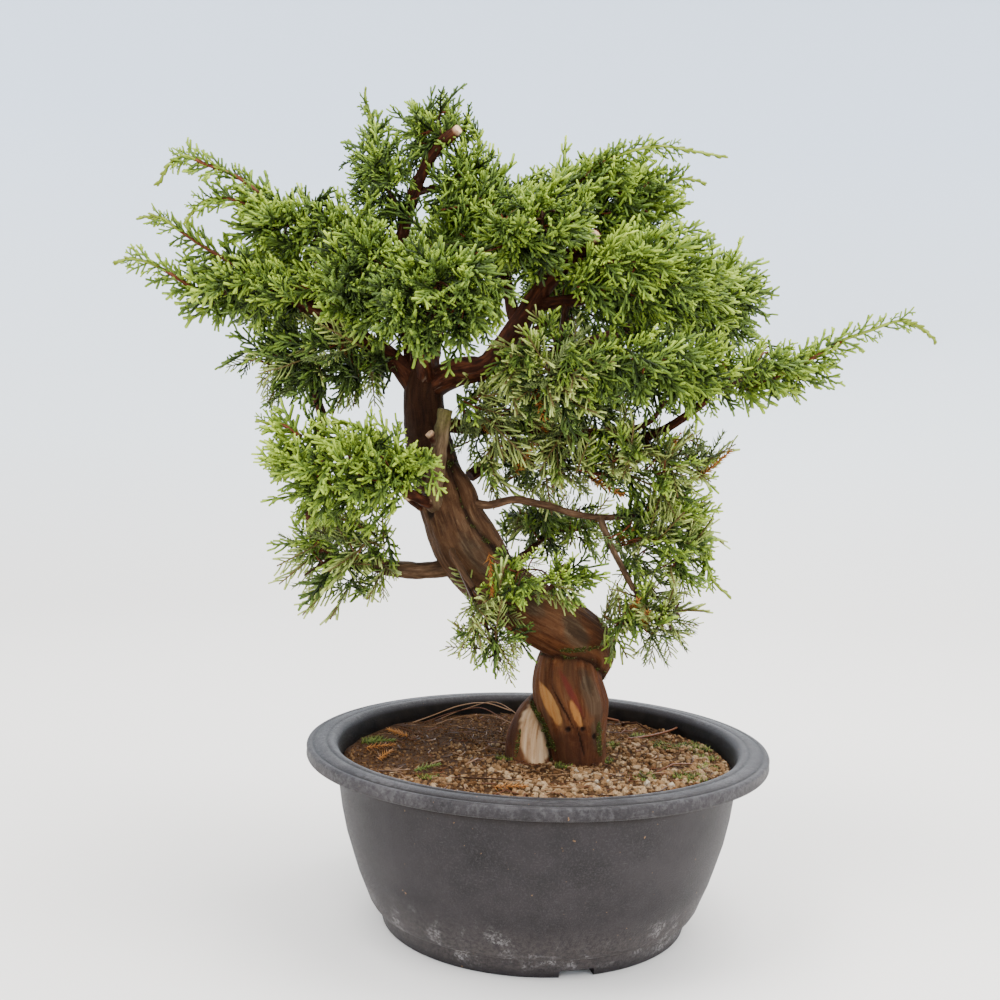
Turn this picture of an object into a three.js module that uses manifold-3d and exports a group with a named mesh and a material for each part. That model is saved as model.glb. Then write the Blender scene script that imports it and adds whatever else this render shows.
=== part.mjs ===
import * as THREE from 'three';
import { mergeVertices } from 'three/addons/utils/BufferGeometryUtils.js';
import Module from 'manifold-3d';

// A twisting, leaning juniper bonsai in a round plastic training pot.
// Millimetres, +Z up. Every place below is measured from the pot's axis at the height of the table;
// the last lines move the whole plant so that its bounding box is centred over the origin.

const wasm = await Module();
wasm.setup();

// Pot: a round bowl with a wide turned-over rim and a foot that is set in under a ledge. BELLY gives
// the radius and height of the wall's outer face between the ledge and the rim.
const POT_SIDES = 32;
const POT_HEIGHT = 93.6;
const RIM_RADIUS = 120;
const RIM_DROP = 6.7;
const RIM_LIP = 1.2;
const RIM_WIDTH = 12.5;
const THROAT_RADIUS = 101.8;
const NECK_RADIUS = 104.6;
const BELLY = [[89.3, 20.7], [95.2, 37], [101.2, 60]];
const LEDGE_RADIUS = 84.5;
const LEDGE_HEIGHT = 10.8;
const FOOT_TOP_RADIUS = 82;
const FOOT_RADIUS = 78.8;
const FOOT_WIDTH = 7;
const FOOT_RECESS = 4;
const WALL = 2.8;
const LEDGE_WALL = 2 * WALL;
const DRAIN_RADIUS = 12;
const NOTCH_HEIGHT = 4;
const NOTCH_COUNT = 3;
const NOTCH_WIDTH = 17;
const NOTCH_FIRST_ANGLE = -74;

// Soil: fills the pot to a few millimetres below the rim and is level under the trunk.
const SOIL_TOP = 84.5;
const SOIL_EDGE = 83;
const SOIL_EDGE_RADIUS = THROAT_RADIUS - 0.6;
const SOIL_LEVEL_RADIUS = 62;

// Touching solids keep this much air between their faces.
const GAP = 0.3;

// Sprays stand out of the core of a dense mass. Widths are shares of a spray's length, and so is
// the place of the hub that its teeth fan out from.
const SPRAY_WIDTH = 1.05;
const SPRAY_THICKNESS = 1.5;
const SPRAY_TEETH = 3;
const SPRAY_HUB = 0.42;
const SPRAY_FAN = Math.PI;
const SPRAY_NOTCH = 0.45;
const SPRAY_SINK = 7;
const SPRAY_CLEARANCE = 0.4;
const CORE_SHARE = 0.74;

// Fronds grow from the stem of an open mass, and a shoot is a long narrow frond. Each is a bare
// twig up to FROND_BARE of its length, then teeth that narrow towards its tip.
const FROND_TWIG = 0.9;
const FROND_BARE = 0.4;
const FROND_LEAN = 0.9;
const FROND_NARROWING = 0.45;
const FROND_TEETH = 2;
const FROND_WIDTH = 0.42;
const SHOOT_TEETH = 3;
const SHOOT_WIDTH = 0.13;
const ROLL_SPREAD = 1.6;

// The stem of a mass: how thick it starts, as a share of its bough, how far it runs straight on
// from the bough, and how far it goes on past the middle of the mass.
const STEM_SHARE = 0.85;
const STEM_LEAD = 8;
const STEM_PAST_MIDDLE = 0.25;
const STEM_SINK = 0.6;
const STEM_SIDES = 4;
const STEM_STEPS = 3;
const STEM_TIP_RADIUS = 0.9;
const GOLDEN_ANGLE = Math.PI * (3 - Math.sqrt(5));

const UP = new THREE.Vector3(0, 0, 1);

const finishes = {
  plastic: { color: 0x46454a, roughness: 0.55, metalness: 0 },
  soil: { color: 0x8a6a4c, roughness: 1, metalness: 0 },
  bark: { color: 0x6b4636, roughness: 0.9, metalness: 0 },
  mossyBark: { color: 0x7a6a48, roughness: 0.95, metalness: 0 },
  foliage: { color: 0x6b9440, roughness: 0.8, metalness: 0 },
};

// Solids: a closed three.js geometry becomes a solid that can be joined and cut, and back again.
function toSolid(geometry) {
  const plain = geometry.clone();
  plain.deleteAttribute('normal');
  plain.deleteAttribute('uv');
  const merged = mergeVertices(plain, 1e-4);
  return new wasm.Manifold(new wasm.Mesh({
    numProp: 3,
    vertProperties: new Float32Array(merged.attributes.position.array),
    triVerts: new Uint32Array(merged.index.array),
  }));
}

function toMesh(name, solid, finish) {
  const data = solid.getMesh();
  const geometry = new THREE.BufferGeometry();
  geometry.setAttribute('position', new THREE.BufferAttribute(data.vertProperties, 3));
  geometry.setIndex(new THREE.BufferAttribute(data.triVerts, 1));
  geometry.computeVertexNormals();
  const mesh = new THREE.Mesh(geometry, new THREE.MeshStandardMaterial(finishes[finish]));
  mesh.name = name;
  return mesh;
}

function seeded(seed) {
  let state = seed;
  return () => {
    state = (Math.imul(state, 1664525) + 1013904223) >>> 0;
    return state / 2 ** 32;
  };
}

function vector(list) {
  return new THREE.Vector3(...list);
}

// The curve that a limb follows through its points.
function smoothCurve(points) {
  return new THREE.CatmullRomCurve3(points.map(vector));
}

// A radius or a list of radii, read off at a share t of the way along.
function radiusAlong(radii, t) {
  const place = t * (radii.length - 1);
  const index = Math.min(Math.floor(place), radii.length - 2);
  return THREE.MathUtils.lerp(radii[index], radii[index + 1], place - index);
}

// A tapering round limb along a smooth curve: a straight prism of unit size whose rings are
// carried onto the curve without twisting. grow makes it fatter and longer on every side.
function limbGeometry({ points, radii, sides, steps, relief }, grow = 0) {
  const curve = smoothCurve(points);
  const outline = [];
  for (let side = 0; side < sides; side += 1) {
    const angle = (side / sides) * Math.PI * 2;
    outline.push(new THREE.Vector2(Math.cos(angle), Math.sin(angle)));
  }
  const prism = new THREE.ExtrudeGeometry(new THREE.Shape(outline), {
    depth: 1,
    steps,
    bevelEnabled: false,
  });
  const rings = [];
  const across = new THREE.Vector3(0.9, 0.3, 0.2);
  for (let step = 0; step <= steps; step += 1) {
    const t = step / steps;
    const along = curve.getTangent(t);
    across.addScaledVector(along, -across.dot(along)).normalize();
    const centre = curve.getPoint(t);
    if (step === 0) centre.addScaledVector(along, -grow);
    if (step === steps) centre.addScaledVector(along, grow);
    rings.push({ centre, across: across.clone(), beside: along.clone().cross(across), t });
  }
  const position = prism.attributes.position;
  const facetGrow = grow / Math.cos(Math.PI / sides);
  for (let i = 0; i < position.count; i += 1) {
    const ring = rings[Math.round(position.getZ(i) * steps)];
    const angle = Math.atan2(position.getY(i), position.getX(i));
    const swell = relief ? relief(angle, ring.t) : 1;
    const radius = radiusAlong(radii, ring.t) * swell + facetGrow;
    const point = ring.centre.clone()
      .addScaledVector(ring.across, radius * Math.cos(angle))
      .addScaledVector(ring.beside, radius * Math.sin(angle));
    position.setXYZ(i, point.x, point.y, point.z);
  }
  return prism;
}

// The spheres that a limb fills, one at each of these steps, for telling what comes near it.
const SPHERE_STEP = 2.5;

function limbSpheres({ points, radii }, owner) {
  const curve = smoothCurve(points);
  const count = Math.ceil(curve.getLength() / SPHERE_STEP);
  const spheres = [];
  for (let i = 0; i <= count; i += 1) {
    const t = i / count;
    spheres.push({ centre: curve.getPoint(t), radius: radiusAlong(radii, t), owner });
  }
  return spheres;
}

// Trunk: a leaning base strand with a dead pale stub beside it, a thick upper strand that starts
// behind the base, turns over it as a collar and leans away, and a thin strand up its right side.
const twistedRelief = (lobes, depth, turns) => (angle, t) =>
  1 + depth * Math.cos(lobes * angle + turns * t * Math.PI * 2);

const strands = {
  base: {
    points: [[22, -5, 80], [20, -3, 96], [18, 0, 111], [15, 2, 123], [16, 6, 133], [22, 9, 141]],
    radii: [14.5, 16, 19.5, 18.5, 16.5, 14],
    sides: 12,
    steps: 10,
    relief: twistedRelief(3, 0.06, 0.6),
  },
  stub: {
    points: [[-4, -6, 80], [-4, -2, 95], [0, 5, 106], [9, 10, 115]],
    radii: [12.5, 11.5, 9, 6],
    sides: 10,
    steps: 6,
    relief: twistedRelief(2, 0.08, 0.3),
  },
  upper: {
    points: [[24, 12, 127], [26, 7, 141], [14, 1, 150], [-5, -3, 161], [-23, -2, 174],
      [-40, 0, 191], [-50, 2, 211], [-57, 4, 233], [-63, 5, 254], [-65, 5, 272], [-63, 5, 286]],
    radii: [11, 14, 16, 15.5, 15.5, 16, 14, 12.5, 11.5, 10.5, 9],
    sides: 12,
    steps: 20,
    relief: twistedRelief(3, 0.07, 1.6),
  },
  side: {
    points: [[-14, -3, 176], [-28, -7, 200], [-36, -8, 213], [-40, -8, 224], [-48, -3, 235]],
    radii: [5, 4.6, 4.2, 3.8, 2.5],
    sides: 8,
    steps: 8,
  },
};
const CUT_SLAB = 40;

function trunkSolid(grow) {
  let solid = null;
  for (const strand of Object.values(strands)) {
    const next = toSolid(limbGeometry(strand, grow));
    solid = solid ? solid.add(next) : next;
  }
  const slab = new THREE.BoxGeometry(CUT_SLAB * 3, CUT_SLAB * 3, CUT_SLAB);
  slab.translate(0, 0, SOIL_TOP + GAP - grow - CUT_SLAB / 2);
  return solid.subtract(toSolid(slab));
}

// Boughs: each starts on the axis of what carries it and is then cut clear of it.
const boughs = {
  apex_bough: {
    points: [[-65, 5, 270], [-72, 8, 303], [-79, 10, 330], [-79, 8, 353], [-74, 5, 372],
      [-66, 2, 391], [-57, -2, 403], [-50, -6, 407]],
    radii: [7.4, 4.6, 3.2, 2.8, 2.4],
  },
  right_bough: {
    points: [[-63, 5, 275], [-48, 0, 284], [-32, -6, 287], [-20, -8, 302], [-8, -8, 320],
      [0, -8, 333], [9, -10, 341], [17, -14, 346], [22, -20, 354]],
    radii: [7.4, 2.8],
  },
  left_bough: {
    points: [[-65, 5, 270], [-80, 4, 289], [-103, -3, 303], [-123, -8, 315], [-134, -10, 319]],
    radii: [6, 2.4],
  },
  low_left_bough: {
    points: [[-40, 0, 185], [-55, -2, 181], [-71, -4, 180], [-90, -3, 183], [-108, 0, 184],
      [-117, 5, 187]],
    radii: [4.8, 3.2],
  },
  left_riser: {
    points: [[-115, 4, 186], [-123, 12, 196], [-126, 16, 214], [-123, 16, 239], [-120, 14, 257],
      [-123, 10, 272]],
    radii: [3.4, 2.2],
  },
  right_low_bough: {
    points: [[-61, 6, 257], [-40, 8, 256], [-11, 10, 256], [23, 4, 254], [44, -5, 257]],
    radii: [4.2, 2.4],
  },
  right_reach_bough: {
    points: [[28, 3, 254], [50, 1, 253], [68, -13, 262], [79, -24, 272]],
    radii: [2.8, 1.8],
  },
  upper_left_bough: { points: [[-79, 10, 330], [-94, 4, 344], [-108, -1, 350]], radii: [3.4, 2] },
  shoot_bough: { points: [[-78, 10, 326], [-89, 16, 343], [-97, 20, 363]], radii: [3, 1.8] },
  centre_left_bough: { points: [[-73, 8, 309], [-81, -8, 318], [-87, -18, 323]], radii: [3.4, 2.2] },
  front_bough: { points: [[-63, 5, 278], [-63, -15, 289], [-60, -33, 299]], radii: [5, 2.6] },
  upper_centre_bough: { points: [[-16, -8, 307], [-21, 4, 324], [-24, 8, 338]], radii: [3.8, 2.2] },
  upper_right_bough: { points: [[0, -8, 333], [9, 0, 346], [16, 6, 357]], radii: [3.4, 2.2] },
  right_mid_bough: { points: [[-8, -8, 319], [13, -14, 321], [27, -18, 323]], radii: [3.6, 2.2] },
  right_back_bough: {
    points: [[-30, -6, 287], [-8, 14, 292], [28, 32, 306], [60, 42, 318]],
    radii: [4.2, 2.2],
  },
  back_right_bough: { points: [[-44, -1, 284], [-24, 26, 297], [-2, 50, 315]], radii: [4.4, 2.4] },
  back_bough: { points: [[-64, 5, 278], [-63, 28, 292], [-61, 50, 318]], radii: [5, 2.6] },
  back_left_bough: { points: [[-80, 4, 289], [-97, 26, 298], [-114, 46, 312]], radii: [4, 2.4] },
  inner_branch: { points: [[7, 7, 254], [2, 4, 245], [-8, 4, 239]], radii: [2.4, 1.6] },
  inner_back_branch: { points: [[-9, 10, 256], [1, 28, 260], [7, 42, 265]], radii: [3, 1.8] },
  arch_branch: {
    points: [[-38, -8, 217], [-28, -12, 216], [-16, -14, 219], [0, -14, 217], [15, -12, 213],
      [29, -8, 211], [42, -4, 212]],
    radii: [2.3, 1.4],
  },
  drop_branch: {
    points: [[29, -8, 211], [35, -14, 197], [42, -16, 184], [47, -16, 175]],
    radii: [1.7, 1.3],
  },
  back_low_branch: { points: [[-24, 0, 175], [-12, 25, 185], [-4, 42, 191]], radii: [3, 1.8] },
  pad_branch: { points: [[-51, 2, 212], [-65, -26, 220], [-74, -36, 226]], radii: [3, 2] },
  front_twig: {
    points: [[-42, 0, 194], [-46, -17, 191], [-40, -24, 183], [-34, -28, 175]],
    radii: [2, 1.4],
  },
  cut_stub: {
    points: [[-53, 2, 212], [-57, -12, 218], [-55, -17, 233], [-53, -20, 251], [-51, -21, 264]],
    radii: [5, 3.4],
    finish: 'mossyBark',
  },
};
const BOUGH_SIDES = 6;
const BOUGH_STEP = 16;
const FEWEST_STEPS = 3;

for (const bough of Object.values(boughs)) {
  const curve = smoothCurve(bough.points);
  bough.sides = BOUGH_SIDES;
  bough.steps = Math.max(FEWEST_STEPS, Math.round(curve.getLength() / BOUGH_STEP));
  bough.swollen = toSolid(limbGeometry(bough, GAP));
}

const swollenTrunk = trunkSolid(GAP);

function boughSolid(name) {
  let solid = toSolid(limbGeometry(boughs[name])).subtract(swollenTrunk);
  for (const earlier of Object.keys(boughs)) {
    if (earlier === name) break;
    solid = solid.subtract(boughs[earlier].swollen);
  }
  return solid;
}

// Masses of foliage: from names the bough whose tip carries the stem, and at says how far along
// that bough the stem sits if not at its tip. A dense mass has a core, and shoots are the long
// leaders that run out of the mass to the crown's furthest tips.
const masses = {
  apex_mass: {
    from: 'apex_bough', at: 0.9, centre: [-64, 8, 412], reach: [24, 20, 18], fronds: 5,
  },
  apex_left_mass: {
    from: 'apex_bough', at: 0.5, centre: [-89, -2, 383], reach: [17, 20, 27], fronds: 5,
  },
  apex_right_mass: {
    from: 'apex_bough', at: 0.6, centre: [-49, 8, 384], reach: [19, 22, 26], fronds: 5,
  },
  top_shoot_mass: {
    from: 'shoot_bough', centre: [-99, 22, 391], reach: [14, 14, 22], fronds: 4,
    shoots: [[-102, 22, 437]],
  },
  upper_left_mass: {
    from: 'upper_left_bough', centre: [-132, -5, 358], reach: [38, 32, 19], sprays: 9,
    shoots: [[-200, -20, 374], [-209, -20, 358]],
  },
  left_mass: {
    from: 'left_bough', centre: [-153, -12, 323], reach: [38, 34, 21], sprays: 9,
    shoots: [[-221, -25, 333]],
  },
  lower_left_mass: { from: 'left_riser', centre: [-123, 0, 288], reach: [42, 34, 26], fronds: 5 },
  centre_left_mass: {
    from: 'centre_left_bough', centre: [-93, -38, 327], reach: [26, 25, 33], sprays: 9,
  },
  centre_front_mass: {
    from: 'front_bough', centre: [-56, -62, 315], reach: [30, 30, 29], sprays: 9,
  },
  upper_centre_mass: {
    from: 'upper_centre_bough', centre: [-25, 12, 364], reach: [32, 32, 32], sprays: 9,
  },
  centre_right_mass: {
    from: 'right_bough', at: 0.55, centre: [-5, -35, 353], reach: [30, 23, 24], sprays: 8,
  },
  upper_right_mass: {
    from: 'upper_right_bough', centre: [27, 14, 377], reach: [44, 36, 27], sprays: 9,
    shoots: [[88, -5, 396], [79, 5, 385]],
  },
  right_mass: {
    from: 'right_mid_bough', centre: [51, -24, 331], reach: [43, 34, 28], sprays: 8,
  },
  right_inner_mass: {
    from: 'right_mid_bough', at: 0.4, centre: [6, -36, 291], reach: [30, 22, 26], sprays: 7,
  },
  right_low_mass: {
    from: 'right_low_bough', centre: [56, -30, 285], reach: [44, 34, 24], fronds: 5,
  },
  right_back_mass: {
    from: 'right_back_bough', centre: [92, 50, 329], reach: [34, 38, 33], sprays: 9,
  },
  right_reach_mass: {
    from: 'right_reach_bough', centre: [112, -26, 287], reach: [29, 22, 18], fronds: 4,
    shoots: [[191, -26, 303]],
  },
  under_reach_mass: {
    from: 'right_reach_bough', at: 0.35, centre: [60, -12, 239], reach: [37, 28, 20], fronds: 4,
  },
  inner_right_mass: { from: 'inner_branch', centre: [-24, -4, 240], reach: [20, 24, 18], fronds: 4 },
  under_bough_mass: {
    from: 'right_low_bough', at: 0.7, centre: [10, 8, 237], reach: [34, 28, 20], fronds: 4,
  },
  inner_back_mass: {
    from: 'inner_back_branch', centre: [16, 66, 272], reach: [36, 32, 28], fronds: 4,
  },
  low_right_mass: {
    from: 'arch_branch', centre: [67, 4, 198], reach: [30, 30, 31], fronds: 5,
    shoots: [[101, 15, 169]],
  },
  hanging_mass: { from: 'drop_branch', centre: [59, -12, 160], reach: [28, 24, 22], fronds: 4 },
  back_low_mass: {
    from: 'back_low_branch', centre: [8, 64, 203], reach: [34, 28, 22], fronds: 4,
  },
  pad_mass: {
    from: 'pad_branch', centre: [-99, -48, 235], reach: [41, 36, 24], sprays: 10,
    shoots: [[-140, -50, 256]],
  },
  under_pad_mass: {
    from: 'low_left_bough', at: 0.8, centre: [-110, -14, 180], reach: [34, 28, 27], fronds: 5,
  },
  sprig_mass: { from: 'front_twig', centre: [2, -42, 181], reach: [30, 17, 15], fronds: 4 },
  drooping_mass: {
    from: 'front_twig', at: 0.5, centre: [-24, -36, 150], reach: [20, 16, 20], fronds: 4,
  },
  back_left_mass: {
    from: 'back_left_bough', centre: [-144, 76, 335], reach: [50, 44, 38], sprays: 8,
  },
  back_mass: {
    from: 'back_bough', centre: [-60, 88, 350], reach: [46, 42, 42], sprays: 8,
  },
  back_right_mass: {
    from: 'back_right_bough', centre: [24, 86, 338], reach: [48, 40, 40], sprays: 8,
  },
};

// A toothed spray: a double cone whose rim is drawn out into a fan of points, with its root behind.
function sprayGeometry(root, tip, roll, teeth) {
  const rim = teeth * 2;
  const geometry = new THREE.SphereGeometry(1, rim, 2);
  const length = root.distanceTo(tip);
  const forward = tip.clone().sub(root).normalize();
  const level = Math.abs(forward.z) > 0.9 ? new THREE.Vector3(0, 1, 0) : UP;
  const across = forward.clone().cross(level).normalize().applyAxisAngle(forward, roll);
  const normal = forward.clone().cross(across);
  const hub = root.clone().addScaledVector(forward, length * SPRAY_HUB);
  const position = geometry.attributes.position;
  for (let i = 0; i < position.count; i += 1) {
    const point = hub.clone();
    const pole = position.getY(i);
    if (Math.abs(pole) > 0.5) {
      point.addScaledVector(normal, pole * SPRAY_THICKNESS / 2);
    } else {
      const turn = Math.atan2(position.getZ(i), -position.getX(i));
      const index = (Math.round(turn / (Math.PI * 2 / rim)) + rim) % rim;
      if (index === 0) {
        point.copy(root);
      } else {
        const fan = (index / rim - 0.5) * SPRAY_FAN;
        const tooth = index % 2 === 1 ? 1 : SPRAY_NOTCH;
        point.addScaledVector(forward, length * (1 - SPRAY_HUB) * tooth * Math.cos(fan));
        point.addScaledVector(across, length * SPRAY_WIDTH * tooth * Math.sin(fan));
      }
    }
    position.setXYZ(i, point.x, point.y, point.z);
  }
  return geometry;
}

// The spheres that a spray fills, wider towards its middle, in the same way as a limb's.
function spraySpheres(root, tip, owner) {
  const length = root.distanceTo(tip);
  return [0.15, 0.35, 0.55, 0.75, 0.95].map((t) => ({
    centre: root.clone().lerp(tip, t),
    radius: length * SPRAY_WIDTH * Math.min(t * 0.8, 0.36) + SPRAY_THICKNESS / 2,
    owner,
  }));
}

// A point sits inside an ellipsoid, or within pad of it, where this is less than one.
function depthIn(point, centre, reach, pad = 0) {
  return Math.hypot(
    (point.x - centre.x) / (reach.x + pad),
    (point.y - centre.y) / (reach.y + pad),
    (point.z - centre.z) / (reach.z + pad),
  );
}

// Everything that has its place so far.
const taken = [];
for (const [name, strand] of Object.entries(strands)) taken.push(...limbSpheres(strand, name));
for (const [name, bough] of Object.entries(boughs)) taken.push(...limbSpheres(bough, name));

function prepareMass(name, index) {
  const mass = masses[name];
  const bough = boughs[mass.from];
  const curve = smoothCurve(bough.points);
  const at = mass.at ?? 1;
  const start = curve.getPoint(at);
  mass.middle = vector(mass.centre);
  mass.size = vector(mass.reach);
  mass.coreSize = mass.size.clone().multiplyScalar(CORE_SHARE);
  const lead = at === 1 ? curve.getTangent(1) : mass.middle.clone().sub(start).normalize();
  const straight = Math.min(STEM_LEAD, start.distanceTo(mass.middle) / 3);
  const foot = start.clone().addScaledVector(lead, -STEM_SINK);
  const bend = start.clone().addScaledVector(lead, straight);
  const end = mass.middle.clone().lerp(start, -STEM_PAST_MIDDLE);
  mass.stem = {
    points: [foot, bend, mass.middle, end].map((point) => point.toArray()),
    radii: [radiusAlong(bough.radii, at) * STEM_SHARE, STEM_TIP_RADIUS],
    sides: STEM_SIDES,
    steps: STEM_STEPS,
  };
  mass.curve = smoothCurve(mass.stem.points);
  mass.random = seeded(index + 11);
  mass.solid = toSolid(limbGeometry(mass.stem));
  if (mass.sprays) {
    const core = new THREE.IcosahedronGeometry(1, 1);
    core.scale(...mass.coreSize.toArray());
    core.translate(...mass.centre);
    let clear = toSolid(core).subtract(swollenTrunk);
    for (const limb of Object.values(boughs)) clear = clear.subtract(limb.swollen);
    mass.solid = mass.solid.add(clear);
  }
  taken.push(...limbSpheres(mass.stem, name));
}

function isClear(spheres, owner) {
  for (const sphere of spheres) {
    for (const other of taken) {
      if (other.owner === owner) continue;
      const reach = sphere.radius + other.radius + SPRAY_CLEARANCE;
      if (sphere.centre.distanceToSquared(other.centre) < reach * reach) return false;
    }
    for (const [name, mass] of Object.entries(masses)) {
      if (name === owner || !mass.sprays) continue;
      const pad = sphere.radius + SPRAY_CLEARANCE;
      if (depthIn(sphere.centre, mass.middle, mass.coreSize, pad) < 1) return false;
    }
  }
  return true;
}

function addSpray(mass, name, root, tip, roll, teeth) {
  const spheres = spraySpheres(root, tip, name);
  if (!isClear(spheres, name)) return false;
  mass.solid = mass.solid.add(toSolid(sprayGeometry(root, tip, roll, teeth)));
  taken.push(...spheres);
  return true;
}

// Each spray or frond heads for its share of a spiral that covers the mass evenly.
function shellPoint(mass, index, count) {
  const rise = 1 - 2 * (index + 0.5) / count;
  const turn = GOLDEN_ANGLE * index + mass.random();
  const level = Math.sqrt(1 - rise * rise);
  const heading = new THREE.Vector3(level * Math.cos(turn), level * Math.sin(turn), rise);
  return heading.multiply(mass.size);
}

function growOnCore(name, index) {
  const mass = masses[name];
  const outward = shellPoint(mass, index, mass.sprays);
  const tip = mass.middle.clone().addScaledVector(outward, 0.9 + 0.1 * mass.random());
  const root = mass.middle.clone().addScaledVector(outward, CORE_SHARE);
  root.addScaledVector(outward.normalize(), -SPRAY_SINK);
  addSpray(mass, name, root, tip, (mass.random() - 0.5) * ROLL_SPREAD, SPRAY_TEETH);
}

// A frond: a twig with its sprays flattened into one toothed blade, from its root to its tip.
function frondGeometry(root, tip, roll, teeth, width) {
  const length = root.distanceTo(tip);
  const edge = [new THREE.Vector2(0, FROND_TWIG)];
  for (let k = 0; k < teeth; k += 1) {
    const share = k / teeth;
    const leaves = length * (FROND_BARE + (1 - FROND_BARE) * share * 0.9);
    const reach = length * width * (1 - FROND_NARROWING * share);
    edge.push(new THREE.Vector2(leaves, FROND_TWIG));
    edge.push(new THREE.Vector2(leaves + reach * FROND_LEAN, reach));
  }
  const mirrored = edge.map((point) => new THREE.Vector2(point.x, -point.y)).reverse();
  const outline = [...edge, new THREE.Vector2(length, 0), ...mirrored];
  const blade = new THREE.ExtrudeGeometry(new THREE.Shape(outline), {
    depth: SPRAY_THICKNESS,
    bevelEnabled: false,
  });
  blade.translate(0, 0, -SPRAY_THICKNESS / 2);
  const forward = tip.clone().sub(root).normalize();
  const across = forward.clone().cross(UP).normalize().applyAxisAngle(forward, roll);
  const normal = forward.clone().cross(across);
  blade.applyMatrix4(new THREE.Matrix4().makeBasis(forward, across, normal));
  blade.translate(root.x, root.y, root.z);
  return blade;
}

function addFrond(mass, name, root, tip, roll, teeth, width) {
  const length = root.distanceTo(tip);
  const spheres = [];
  const count = Math.ceil(length / 4);
  for (let i = 1; i <= count; i += 1) {
    const t = i / count;
    const spread = t < FROND_BARE ? FROND_TWIG : length * width * (1 - 0.7 * t);
    const radius = spread + SPRAY_THICKNESS / 2;
    spheres.push({ centre: root.clone().lerp(tip, t), radius, owner: name });
  }
  if (!isClear(spheres, name)) return;
  mass.solid = mass.solid.add(toSolid(frondGeometry(root, tip, roll, teeth, width)));
  taken.push(...spheres);
}

function growFrond(name, index) {
  const mass = masses[name];
  const outward = shellPoint(mass, index, mass.fronds);
  const tip = mass.middle.clone().addScaledVector(outward, 0.92 + 0.08 * mass.random());
  const root = mass.curve.getPoint(0.35 + 0.5 * mass.random());
  const roll = (mass.random() - 0.5) * ROLL_SPREAD;
  addFrond(mass, name, root, tip, roll, FROND_TEETH, FROND_WIDTH);
}

// A leader runs out of its mass to one of the crown's furthest tips.
function growShoot(name, target) {
  const mass = masses[name];
  addFrond(mass, name, mass.middle.clone(), vector(target), Math.PI / 2, SHOOT_TEETH, SHOOT_WIDTH);
}

const massNames = Object.keys(masses);
massNames.forEach(prepareMass);
for (const name of massNames) {
  for (const target of masses[name].shoots ?? []) growShoot(name, target);
}
const mostParts = Math.max(...massNames.map((name) => masses[name].sprays ?? masses[name].fronds));
for (let index = 0; index < mostParts; index += 1) {
  for (const name of massNames) {
    if (index < masses[name].sprays) growOnCore(name, index);
    if (index < masses[name].fronds) growFrond(name, index);
  }
}

// Pot: one closed section turned about the axis, with notches cut through the foot.
function potSolid() {
  const corner = (radius, height) => new THREE.Vector2(radius, height);
  const floor = FOOT_RECESS + WALL;
  const neck = POT_HEIGHT - RIM_DROP;
  const outerBelly = BELLY.map(([radius, height]) => corner(radius, height));
  const innerBelly = BELLY.map(([radius, height]) => corner(radius - WALL, height)).reverse();
  const section = [
    corner(DRAIN_RADIUS, FOOT_RECESS),
    corner(FOOT_RADIUS - FOOT_WIDTH, FOOT_RECESS),
    corner(FOOT_RADIUS - FOOT_WIDTH, 0),
    corner(FOOT_RADIUS, 0),
    corner(FOOT_TOP_RADIUS, LEDGE_HEIGHT - 1),
    corner(LEDGE_RADIUS, LEDGE_HEIGHT),
    ...outerBelly,
    corner(NECK_RADIUS, neck),
    corner(RIM_RADIUS - RIM_LIP, neck),
    corner(RIM_RADIUS, neck + RIM_LIP),
    corner(RIM_RADIUS, POT_HEIGHT - RIM_LIP),
    corner(RIM_RADIUS - RIM_WIDTH, POT_HEIGHT),
    corner(THROAT_RADIUS, neck),
    ...innerBelly,
    corner(LEDGE_RADIUS - LEDGE_WALL, floor),
    corner(DRAIN_RADIUS, floor),
  ];
  section.push(section[0].clone());
  const shell = new THREE.LatheGeometry(section, POT_SIDES);
  shell.rotateX(Math.PI / 2);
  let solid = toSolid(shell);
  for (let i = 0; i < NOTCH_COUNT; i += 1) {
    const notch = new THREE.BoxGeometry(FOOT_WIDTH * 4, NOTCH_WIDTH, NOTCH_HEIGHT * 2);
    notch.translate(FOOT_RADIUS - FOOT_WIDTH / 2, 0, 0);
    notch.rotateZ(THREE.MathUtils.degToRad(NOTCH_FIRST_ANGLE + i * 360 / NOTCH_COUNT));
    solid = solid.subtract(toSolid(notch));
  }
  return solid;
}

// Soil: a turned block that keeps clear of the pot's floor and wall.
function soilSolid() {
  const clear = WALL + GAP;
  const bottom = FOOT_RECESS + clear;
  const section = [
    new THREE.Vector2(0, bottom),
    new THREE.Vector2(LEDGE_RADIUS - LEDGE_WALL - GAP, bottom),
    ...BELLY.map(([radius, height]) => new THREE.Vector2(radius - clear, height)),
    new THREE.Vector2(SOIL_EDGE_RADIUS, SOIL_EDGE),
    new THREE.Vector2(SOIL_LEVEL_RADIUS, SOIL_TOP),
    new THREE.Vector2(0, SOIL_TOP),
  ];
  const shape = new THREE.LatheGeometry(section, POT_SIDES);
  shape.rotateX(Math.PI / 2);
  return toSolid(shape);
}

const group = new THREE.Group();
group.add(toMesh('pot', potSolid(), 'plastic'));
group.add(toMesh('soil', soilSolid(), 'soil'));
group.add(toMesh('trunk', trunkSolid(0), 'bark'));
for (const [name, bough] of Object.entries(boughs)) {
  group.add(toMesh(name, boughSolid(name), bough.finish ?? 'bark'));
}
for (const [name, mass] of Object.entries(masses)) {
  const solid = mass.solid.subtract(boughs[mass.from].swollen);
  group.add(toMesh(name, solid, 'foliage'));
}

const middle = new THREE.Box3().setFromObject(group).getCenter(new THREE.Vector3());
group.position.set(-middle.x, -middle.y, 0);

export default group;
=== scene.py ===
import math
import random

import bmesh
import bpy
import numpy as np
from mathutils import Matrix, Vector, noise


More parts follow.
